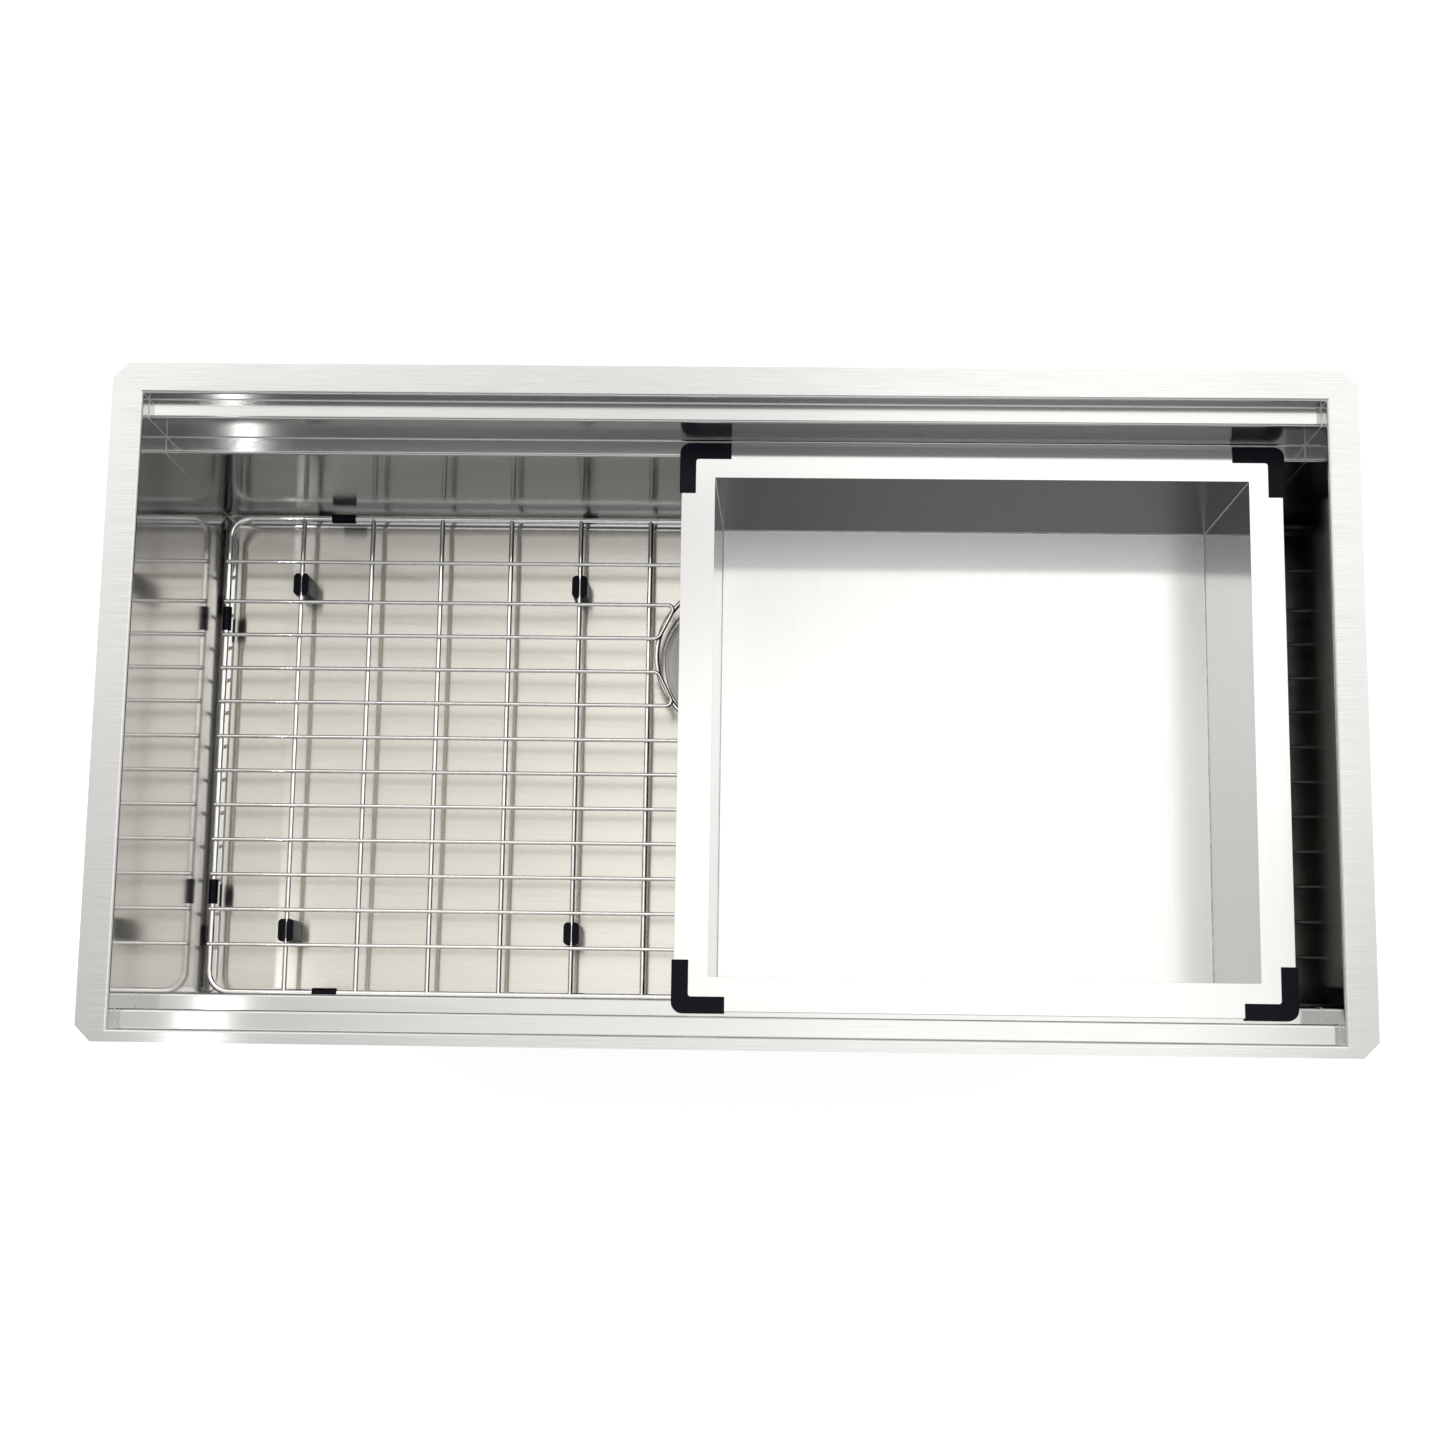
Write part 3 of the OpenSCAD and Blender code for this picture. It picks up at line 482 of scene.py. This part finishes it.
class SinkStudio(bpy.types.PropertyGroup):
    """Light and background."""

    bright_sky: bpy.props.FloatProperty(
        name="Light above", description="Level of the studio's light above and behind", default=1.12,
        min=0, max=3)
    right_lift: bpy.props.FloatProperty(
        name="Lift at the right", description="How much brighter the light is on the right", default=0.28,
        min=0, max=1)
    back_lift: bpy.props.FloatProperty(
        name="Lift at the back", description="How much brighter the light is at the back left", default=0.5,
        min=0, max=1)
    back_dip: bpy.props.FloatProperty(
        name="Dip at the back", description="How much dimmer the light is a little behind", default=0.38,
        min=0, max=1)
    dark_sky: bpy.props.FloatProperty(
        name="Shade in front", description="Level of the studio's light above and in front", default=0.105,
        min=0, max=3)
    front_dip: bpy.props.FloatProperty(
        name="Dip in front", description="How much dimmer the shade in front is near its middle",
        default=0.55, min=0, max=1)
    lamp_power: bpy.props.FloatProperty(
        name="Lamp", description="Power of the small lamp on the left, in watts", default=0.2,
        min=0, max=10)
    side_sky: bpy.props.FloatProperty(
        name="Light around", description="Level of the studio's light near the horizon", default=1.0,
        min=0, max=3)
    band_sky: bpy.props.FloatProperty(
        name="Dim band", description="Level of the studio's light half way up", default=0.3,
        min=0, max=3)
    floor_level: bpy.props.FloatProperty(
        name="Floor level", description="Brightness of the floor where it is in the open", default=0.8,
        min=0, max=1)


# Finishes, made once and shared

FINISHES = {}
OUTSIDE = (0.39, 0.39, 0.385)


def finishes():
    """The sink's materials by name."""
    if FINISHES:
        return FINISHES
    look = bpy.context.scene.sink_finish
    bowl = tuple(look.bowl_colour)
    tray = tuple(look.tray_colour)
    rubber = tuple(look.rubber_colour)
    FINISHES.update({
        "bowl": brushed_steel("bowl_steel_long_grain", bowl, look.bowl_gloss, "X"),
        # The floor's finish carries a painted tint of warm light in its colour.
        "floor": brushed_steel("bowl_steel_floor_warm_lit", tuple(look.floor_colour_with_warm_light), 1.5 * look.bowl_gloss, "X"),
        "end": brushed_steel(
            "bowl_steel_cross_grain", shade(bowl, 0.93)[:3], 0.75 * look.bowl_gloss, "Y", directional=0.8),
        "rim": brushed_steel("rim_steel", bowl, 0.18, "X", contrast=0.08, depth=0.000003),
        "tray": brushed_steel("tray_steel", tray, look.tray_gloss, "Y", contrast=0.02),
        "tray_end": brushed_steel("tray_steel_upright", tray, look.tray_gloss, "Z", contrast=0.02),
        "bowl_outside": brushed_steel("bowl_steel_outside_long", OUTSIDE, 0.34, "X", contrast=0.07),
        "end_outside": brushed_steel("bowl_steel_outside_cross", OUTSIDE, 0.34, "Y", contrast=0.07),
        # The tray's outside is darkened to six tenths of the outside steel. This is painted shade for the
        # dark gap beside the tray, not the steel's own tone.
        "tray_outside_painted_shade": brushed_steel("tray_steel_outside_painted_shade", shade(OUTSIDE, 0.6)[:3], 0.42, "X"),
        "wire": drawn_wire("wire_steel", tuple(look.wire_colour), 0.06),
        "weld": drawn_wire("weld_steel", (0.82, 0.82, 0.81), 0.5),
        "spot": cast_metal("spot_weld_steel", (0.62, 0.60, 0.57), 0.35),
        # The drain steel is a dark grey. This is partly the turned steel's own duller tone and partly
        # painted shade from the tray above the drain.
        "drain": turned_steel("drain_steel", (0.38, 0.375, 0.36), 0.28),
        "chrome": drawn_wire("tailpiece_chrome", (0.60, 0.61, 0.62), 0.08, mottle=0.015),
        "cast": cast_metal("nut_metal", (0.50, 0.50, 0.49), 0.42),
        "rubber": moulded("black_rubber", rubber, 0.38, 1800, 0.00002, bloom=1.8, ior=1.2),
        "gasket": moulded("gasket_rubber", (0.03, 0.03, 0.03), 0.6, 1500, 0.00003),
        "pad": stippled_pad("pad_rubber", (0.045, 0.045, 0.047)),
        "fibre": pressed_fibre("fibre_board", (0.58, 0.47, 0.33)),
        "washer": moulded("washer_plastic", (0.75, 0.75, 0.71), 0.35, 900, 0.00001, bloom=0.9),
        "knob": moulded("knob_plastic", (0.02, 0.02, 0.021), 0.35, 1200, 0.00001, bloom=1.5),
    })
    return FINISHES


def spread_finish(piece, material, low, high):
    """Gives the faces between two heights another finish."""
    piece.data.materials.append(material)
    for face in piece.data.polygons:
        if low < face.center.z < high:
            face.material_index = len(piece.data.materials) - 1


def spread_outside(piece, material, middle_x):
    """Gives the faces that look away from the inside of an open tub another finish."""
    piece.data.materials.append(material)
    inside = Vector((middle_x, 0, 0.5))
    for face in piece.data.polygons:
        if face.normal.dot(face.center - inside) > 0:
            face.material_index = len(piece.data.materials) - 1


# Pieces


class SINK_OT_bowl(bpy.types.Operator):
    """Finish the bowl's stepped sheet and its end walls"""

    bl_idname = "sink.bowl"
    bl_label = "Bowl"

    def execute(self, context):
        look = context.scene.sink_finish
        for node, grain in (("bowl_sheet", "bowl"), ("left_end_wall", "end"), ("right_end_wall", "end")):
            piece = merged_copy(node, f"{node}_finished")
            soften(piece, look.edge_radius)
            settle(piece, "sink", "bowl_steel", finishes()[grain], node)
            spread_finish(piece, finishes()["floor"], CAD_BOX[0].z, MERGE - FLOOR_DEPTH)
            spread_outside(piece, finishes()[f"{grain}_outside"], 0)
            spread_finish(piece, finishes()["rim"], -SHEET - look.edge_radius, MERGE)
        return {"FINISHED"}


class SINK_OT_corner_welds(bpy.types.Operator):
    """Add the ground weld in each corner of the bowl, down its steps to the floor"""

    bl_idname = "sink.corner_welds"
    bl_label = "Corner welds"

    def execute(self, context):
        radius = context.scene.sink_finish.weld_radius
        floor_x = END_FACE - FLOOR_BEND
        floor_y = LOW_FACE - FLOOR_BEND
        bend_z = FLOOR_BEND - FLOOR_DEPTH
        turns = [math.radians(15 * i) for i in range(7)]
        for number, (sx, sy) in enumerate(CORNERS, 1):
            steps = [
                (END_FACE, TOP_FACE, -SHEET), (END_FACE, TOP_FACE, -UPPER_DROP),
                (END_FACE, MID_FACE, -UPPER_DROP), (END_FACE, MID_FACE, -LOWER_DROP),
                (END_FACE, LOW_FACE, -LOWER_DROP),
            ]
            bend = [
                (floor_x + FLOOR_BEND * math.cos(t), floor_y + FLOOR_BEND * math.cos(t),
                 bend_z - FLOOR_BEND * math.sin(t))
                for t in turns
            ]
            points = [(sx * x, sy * y, z) for x, y, z in steps + bend]
            piece = bead(f"corner_weld_{number}", points, radius)
            settle(piece, "sink", "bowl_steel", finishes()["weld"])
        return {"FINISHED"}


class SINK_OT_sound_pads(bpy.types.Operator):
    """Round the sound pads under the floor and on the walls"""

    bl_idname = "sink.sound_pads"
    bl_label = "Sound pads"

    def execute(self, context):
        for node in ("floor_pad_left", "floor_pad_right", "front_pad", "back_pad", "left_pad", "right_pad"):
            piece = merged_copy(node, f"{node}_finished")
            soften(piece, PAD_EDGE, 3)
            settle(piece, "sink", "pad_rubber", finishes()["pad"], node)
        return {"FINISHED"}


class SINK_OT_drain(bpy.types.Operator):
    """Finish the strainer, its seals and nuts, and the tailpiece"""

    bl_idname = "sink.drain"
    bl_label = "Drain"

    def execute(self, context):
        rows = [
            ("strainer_body", "drain_steel", "drain", 0.0003),
            ("flange_seal", "fibre", "fibre", 0.0001),
            ("rubber_gasket", "gasket_rubber", "gasket", 0.0004),
            ("fibre_ring", "fibre", "fibre", 0.0001),
            ("lock_nut", "nut_metal", "cast", 0.0006),
            ("tailpiece_washer", "washer_plastic", "washer", 0.0002),
            ("tailpiece", "tailpiece_steel", "chrome", 0.0002),
            ("slip_nut", "nut_metal", "cast", 0.0008),
        ]
        for node, slot, finish, edge in rows:
            piece = merged_copy(node, f"{node}_finished")
            soften(piece, edge)
            settle(piece, "sink", slot, finishes()[finish], node)
        return {"FINISHED"}


class SINK_OT_basket(bpy.types.Operator):
    """Finish the basket, its post, its knob, its stopper and the nut under it"""

    bl_idname = "sink.basket"
    bl_label = "Basket"

    def execute(self, context):
        rows = [
            ("basket", "drain_steel", "drain", 0.0001),
            ("basket_post", "drain_steel", "chrome", 0.0003),
            ("basket_stopper", "black_rubber", "rubber", 0.0005),
            ("stopper_nut", "drain_steel", "drain", 0.0003),
        ]
        for node, slot, finish, edge in rows:
            piece = merged_copy(node, f"{node}_finished")
            soften(piece, edge)
            settle(piece, "basket", slot, finishes()[finish], node)
        low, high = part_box("basket_knob")
        radius = (high.x - low.x) / 2
        height = high.z - low.z
        profile = [
            (0, 0), (0.56 * radius, 0), (0.6 * radius, 0.05 * height), (0.6 * radius, 0.38 * height),
            (0.72 * radius, 0.48 * height), (0.95 * radius, 0.56 * height), (radius, 0.66 * height),
            (radius, 0.84 * height), (0.96 * radius, 0.93 * height), (0.86 * radius, 0.98 * height),
            (0.7 * radius, height), (0.45 * radius, 0.95 * height), (0, 0.93 * height),
        ]
        knob = lathe("basket_knob_turned", profile, Vector((DRAIN.x, DRAIN.y, low.z)))
        smooth(knob, 50)
        settle(knob, "basket", "knob_plastic", finishes()["knob"], "basket_knob")
        return {"FINISHED"}


class SINK_OT_grid(bpy.types.Operator):
    """Finish the bottom grid's wires"""

    bl_idname = "sink.grid"
    bl_label = "Grid wires"

    def execute(self, context):
        for node in ("grid_frame", "grid_corners", "grid_long_wires", "grid_ring_links",
                     "grid_cross_wires", "grid_ring"):
            piece = merged_copy(node, f"{node}_finished")
            smooth(piece)
            settle(piece, "grid", "wire_steel", finishes()["wire"], node)
        return {"FINISHED"}


class SINK_OT_grid_welds(bpy.types.Operator):
    """Add the spot weld under each crossing of the grid's wires"""

    bl_idname = "sink.grid_welds"
    bl_label = "Grid welds"

    def execute(self, context):
        size = context.scene.sink_finish.spot_weld
        rows = [FIRST_ROW - LONG_STEP * i for i in range(FRONT_ROWS)]
        rows += [BACK_ROW, *[DRAIN.y + y for y in LINK_ROWS]]
        bpy.ops.object.select_all(action="DESELECT")
        bpy.ops.mesh.primitive_uv_sphere_add(
            segments=10, ring_count=6, radius=size, location=(FIRST_COLUMN, rows[0], CROSSING_Z))
        weld = context.object
        bpy.ops.object.mode_set(mode="EDIT")
        bpy.ops.mesh.select_all(action="SELECT")
        bpy.ops.transform.resize(value=(1.0, 0.9, 0.35))
        bpy.ops.object.mode_set(mode="OBJECT")
        bpy.ops.object.transform_apply(location=True, rotation=True, scale=True)
        welds = [weld]
        for y in rows[1:]:
            only(weld)
            bpy.ops.object.duplicate()
            bpy.ops.transform.translate(value=(0, y - rows[0], 0))
            bpy.ops.object.transform_apply(location=True, rotation=True, scale=True)
            welds.append(context.object)
        piece = join(welds, "grid_spot_welds")
        apply_modifier(piece, "ARRAY", count=COLUMNS, use_relative_offset=False,
                       use_constant_offset=True, constant_offset_displace=(CROSS_STEP, 0, 0))
        apply_modifier(piece, "MIRROR", use_axis=(True, False, False))
        bpy.ops.object.mode_set(mode="EDIT")
        bpy.ops.mesh.select_all(action="SELECT")
        bpy.ops.mesh.normals_make_consistent(inside=False)
        bpy.ops.object.mode_set(mode="OBJECT")
        bpy.ops.object.shade_smooth()
        settle(piece, "grid", "wire_steel", finishes()["spot"])
        return {"FINISHED"}


class SINK_OT_feet(bpy.types.Operator):
    """Round the grid's rubber feet and bumpers"""

    bl_idname = "sink.feet"
    bl_label = "Feet and bumpers"

    def execute(self, context):
        edge = context.scene.sink_finish.rubber_edge
        for kind in ("foot", "bumper"):
            for i in range(1, 9):
                node = f"grid_{kind}_{i}"
                piece = merged_copy(node, f"{node}_finished")
                soften(piece, edge, 3, 45)
                settle(piece, "grid", "black_rubber", finishes()["rubber"], node)
        return {"FINISHED"}


class SINK_OT_tray(bpy.types.Operator):
    """Finish the tray, its welded corners, a painted highlight line along its floor folds, and its corner
    guards
    """

    bl_idname = "sink.tray"
    bl_label = "Tray"

    def fold_lines(self, radius):
        """Adds a ground weld down each inner corner, and a pale bead around the floor that is a painted
        highlight of the fold.
        """
        bend = BEND_MIDDLE * TRAY_BEND
        top = (TRAY_HIGH.x - TRAY_MIDDLE - TRAY_FLANGE, TRAY_HIGH.y - TRAY_FLANGE, TRAY_HIGH.z - TRAY_SHEET)
        foot = (top[0] - TRAY_TAPER - bend, top[1] - TRAY_TAPER - bend, TRAY_LOW.z + TRAY_SHEET + bend)
        for number, (sx, sy) in enumerate(CORNERS, 1):
            ends = [(TRAY_MIDDLE + sx * x, sy * y, z) for x, y, z in (top, foot)]
            weld = bead(f"tray_weld_{number}", ends, radius)
            settle(weld, "tray", "tray_steel", finishes()["weld"])
        # The pale bead around the floor is no weld. It is a painted highlight that stands in for the shine
        # of the fold's bend.
        order = ((-1, -1), (1, -1), (1, 1), (-1, 1))
        around = [(TRAY_MIDDLE + sx * foot[0], sy * foot[1], foot[2]) for sx, sy in order]
        fold = bead("tray_fold_painted_highlight", [*around, around[0]], radius)
        settle(fold, "tray", "tray_steel", finishes()["weld"])

    def execute(self, context):
        look = context.scene.sink_finish
        tray = merged_copy("tray_body", "tray_finished")
        soften(tray, look.edge_radius)
        settle(tray, "tray", "tray_steel", finishes()["tray"], "tray_body")
        tray.data.materials.append(finishes()["tray_end"])
        for face in tray.data.polygons:
            if abs(face.normal.y) > 0.7:
                face.material_index = 1
        # The faces on the tray's outside get the darkened finish, which is painted shade for the gap beside
        # the tray.
        spread_outside(tray, finishes()["tray_outside_painted_shade"], TRAY_MIDDLE)
        self.fold_lines(TRAY_WELD * look.weld_radius)
        for i in range(1, 5):
            node = f"tray_guard_{i}"
            guard = merged_copy(node, f"{node}_finished")
            soften(guard, look.rubber_edge, 3, 45)
            settle(guard, "tray", "black_rubber", finishes()["rubber"], node)
        return {"FINISHED"}


# The studio

LAMP_PLACE = (-0.758, -0.228, 1.5)
LAMP_SIZE = 0.024
CAMERA_PLACE = (0.03017, -0.24138, 1.48239)
CAMERA_TURN = (0.1555, 0.0203, 0.0138)
CAMERA_LENS = 53.71
CAMERA_SENSOR = 36
STAGE_SIZE = 24
STAGE_GAP = 0.001
PAPER = (0.45, 0.45, 0.45, 1)


def pale_floor(floor, level):
    """A floor that shows nearly white to the camera and to the metal, and keeps the object's shadow."""
    material = bpy.data.materials.new("pale_floor")
    material.use_nodes = True
    tree = material.node_tree
    tree.nodes.clear()
    seen = add(tree, "ShaderNodeLightPath").outputs
    shown = maths(tree, "MAXIMUM", seen["Is Camera Ray"], seen["Is Glossy Ray"])
    shown = maths(tree, "MAXIMUM", shown, seen["Is Transmission Ray"])
    glow = add(tree, "ShaderNodeEmission", {
        "Color": (1, 1, 1, 1), "Strength": maths(tree, "MULTIPLY", shown, level),
    })
    paper = add(tree, "ShaderNodeBsdfDiffuse", {"Color": PAPER})
    both = add(tree, "ShaderNodeAddShader", {0: glow.outputs[0], 1: paper.outputs[0]})
    add(tree, "ShaderNodeOutputMaterial", {"Surface": both.outputs[0]})
    floor.data.materials.append(material)


def product(tree, first, *others):
    for other in others:
        first = maths(tree, "MULTIPLY", first, other)
    return first


def shade_in_front(tree, studio, lean_x, lean_y, near):
    """The sky's level from front to back: bright behind, dim in front, and bright again far in front."""
    far = ease(tree, lean_y, -1.0, -0.6, 1.0, 0.0)
    hollow = product(tree, ease(tree, lean_x, -0.16, -0.07, 0.0, studio.front_dip),
                     ease(tree, lean_x, -0.03, 0.05, 1.0, 0.0))
    dark = maths(tree, "SUBTRACT", ease(tree, lean_x, -0.01, 0.06, 1.05, 1.4), hollow)
    dark = product(tree, dark, studio.dark_sky)
    return remap(tree, maths(tree, "ADD", near, far), 0.0, 1.0, dark, studio.bright_sky)


def lift_on_right(tree, studio, lean_x, lean_y):
    """The sky's factor from left to right, less at both far ends and a little behind the middle."""
    aside = maths(tree, "ABSOLUTE", maths(tree, "SUBTRACT", lean_y, 0.16), 0.0)
    edge = maths(tree, "ADD", lean_x, ease(tree, aside, 0.08, 0.16, 0.11, 0.0))
    right = ease(tree, edge, -0.03, 0.07, 1.0, 1.0 + studio.right_lift)
    corners = maths(tree, "ADD", ease(tree, lean_x, 0.18, 0.28, 0.0, 0.5),
                    ease(tree, lean_x, -0.30, -0.15, 0.2, 0.0))
    corners = product(tree, corners, ease(tree, lean_y, 0.05, 0.20, 1.0, 0.0))
    dip = product(tree, ease(tree, lean_y, 0.12, 0.26, 0.0, studio.back_dip),
                  ease(tree, lean_y, 0.265, 0.295, 1.0, 0.0),
                  ease(tree, lean_x, -0.28, -0.24, 0.0, 1.0), ease(tree, lean_x, 0.0, 0.1, 1.0, 0.0))
    slope = maths(tree, "SUBTRACT", remap(tree, lean_x, -0.22, -0.10, 0.9, 1.1), dip)
    return product(tree, maths(tree, "SUBTRACT", right, corners), slope)


def lift_at_back(tree, studio, lean_x, lean_y):
    """What the sky gains at the back left, behind and beside the sink."""
    behind = product(tree, ease(tree, lean_x, -0.24, -0.06, studio.back_lift, 0.0),
                     ease(tree, lean_y, 0.265, 0.30, 0.0, 1.0))
    beside = product(tree, ease(tree, lean_x, -0.31, -0.25, studio.back_lift, 0.0),
                     ease(tree, lean_y, 0.12, 0.28, 0.0, 1.0))
    return maths(tree, "MAXIMUM", behind, beside)


def studio_light(studio):
    """A soft room: bright above, dim above and in front and half way up, and white near the horizon.

    A direction above the sink is given by its lean: how far it goes right and back for each unit up.
    """
    world = bpy.data.worlds.new("studio")
    bpy.context.scene.world = world
    world.use_nodes = True
    tree = world.node_tree
    tree.nodes.clear()
    way = add(tree, "ShaderNodeTexCoord").outputs["Generated"]
    parts = add(tree, "ShaderNodeSeparateXYZ", {"Vector": way}).outputs
    up = maths(tree, "MAXIMUM", parts["Z"], 0.05)
    lean_x = maths(tree, "DIVIDE", parts["X"], up)
    lean_y = maths(tree, "DIVIDE", parts["Y"], up)
    near = ease(tree, lean_y, -0.23, -0.165, 0.0, 1.0)
    sides = maths(tree, "ADD", lift_on_right(tree, studio, lean_x, lean_y),
                  lift_at_back(tree, studio, lean_x, lean_y))
    level = product(tree, shade_in_front(tree, studio, lean_x, lean_y, near), sides)
    band = ease(tree, parts["Z"], 0.30, 0.42, studio.side_sky, studio.band_sky)
    height = ease(tree, parts["Z"], 0.50, 0.66, 0.0, 1.0)
    level = add(tree, "ShaderNodeMix", {0: height, 2: band, 3: level}).outputs[0]
    tint = blend_colour(tree, near, (0.96, 0.985, 1.03, 1), (1.0, 0.99, 0.97, 1))
    tint = blend_colour(tree, height, (1, 1, 1, 1), tint)
    glow = add(tree, "ShaderNodeBackground", {"Color": tint, "Strength": level})
    add(tree, "ShaderNodeOutputWorld", {"Surface": glow.outputs[0]})


class SINK_OT_stage(bpy.types.Operator):
    """Add the pale floor, the soft light and the camera above the sink"""

    bl_idname = "sink.stage"
    bl_label = "Stage"

    def execute(self, context):
        studio = context.scene.sink_studio
        bpy.ops.object.select_all(action="DESELECT")
        bpy.ops.mesh.primitive_plane_add(size=STAGE_SIZE, location=(0, 0, CAD_BOX[0].z - STAGE_GAP))
        floor = context.object
        name_piece(floor, "stage_floor")
        pale_floor(floor, studio.floor_level)
        studio_light(studio)
        bpy.ops.object.light_add(type="AREA", location=LAMP_PLACE)
        lamp = context.object
        name_piece(lamp, "small_lamp")
        lamp.data.shape = "DISK"
        lamp.data.size = LAMP_SIZE
        lamp.data.energy = studio.lamp_power
        bpy.ops.object.camera_add(location=CAMERA_PLACE, rotation=CAMERA_TURN)
        camera = context.object
        name_piece(camera, "photo_camera")
        camera.data.sensor_width = CAMERA_SENSOR
        camera.data.lens = CAMERA_LENS
        context.scene.camera = camera
        context.scene.view_settings.view_transform = "Standard"
        return {"FINISHED"}


class SINK_PT_panel(bpy.types.Panel):
    """Sink panel in the 3D view's sidebar"""

    bl_idname = "SINK_PT_panel"
    bl_label = "Workstation sink"
    bl_space_type = "VIEW_3D"
    bl_region_type = "UI"
    bl_category = "Sink"

    def draw(self, context):
        layout = self.layout
        for group in (context.scene.sink_finish, context.scene.sink_studio):
            for key in group.__annotations__:
                layout.prop(group, key)
        for operator in PIECES:
            layout.operator(operator.bl_idname)


PIECES = [
    SINK_OT_bowl, SINK_OT_corner_welds, SINK_OT_sound_pads, SINK_OT_drain, SINK_OT_basket,
    SINK_OT_grid, SINK_OT_grid_welds, SINK_OT_feet, SINK_OT_tray, SINK_OT_stage,
]
CLASSES = [SinkFinish, SinkStudio, *PIECES, SINK_PT_panel]


def register():
    for kind in CLASSES:
        bpy.utils.register_class(kind)
    bpy.types.Scene.sink_finish = bpy.props.PointerProperty(type=SinkFinish)
    bpy.types.Scene.sink_studio = bpy.props.PointerProperty(type=SinkStudio)


def unregister():
    del bpy.types.Scene.sink_studio
    del bpy.types.Scene.sink_finish
    for kind in reversed(CLASSES):
        bpy.utils.unregister_class(kind)


def main():
    register()
    bpy.ops.sink.bowl()
    bpy.ops.sink.corner_welds()
    bpy.ops.sink.sound_pads()
    bpy.ops.sink.drain()
    bpy.ops.sink.basket()
    bpy.ops.sink.grid()
    bpy.ops.sink.grid_welds()
    bpy.ops.sink.feet()
    bpy.ops.sink.tray()
    bpy.ops.sink.stage()


if __name__ == "__main__":
    main()
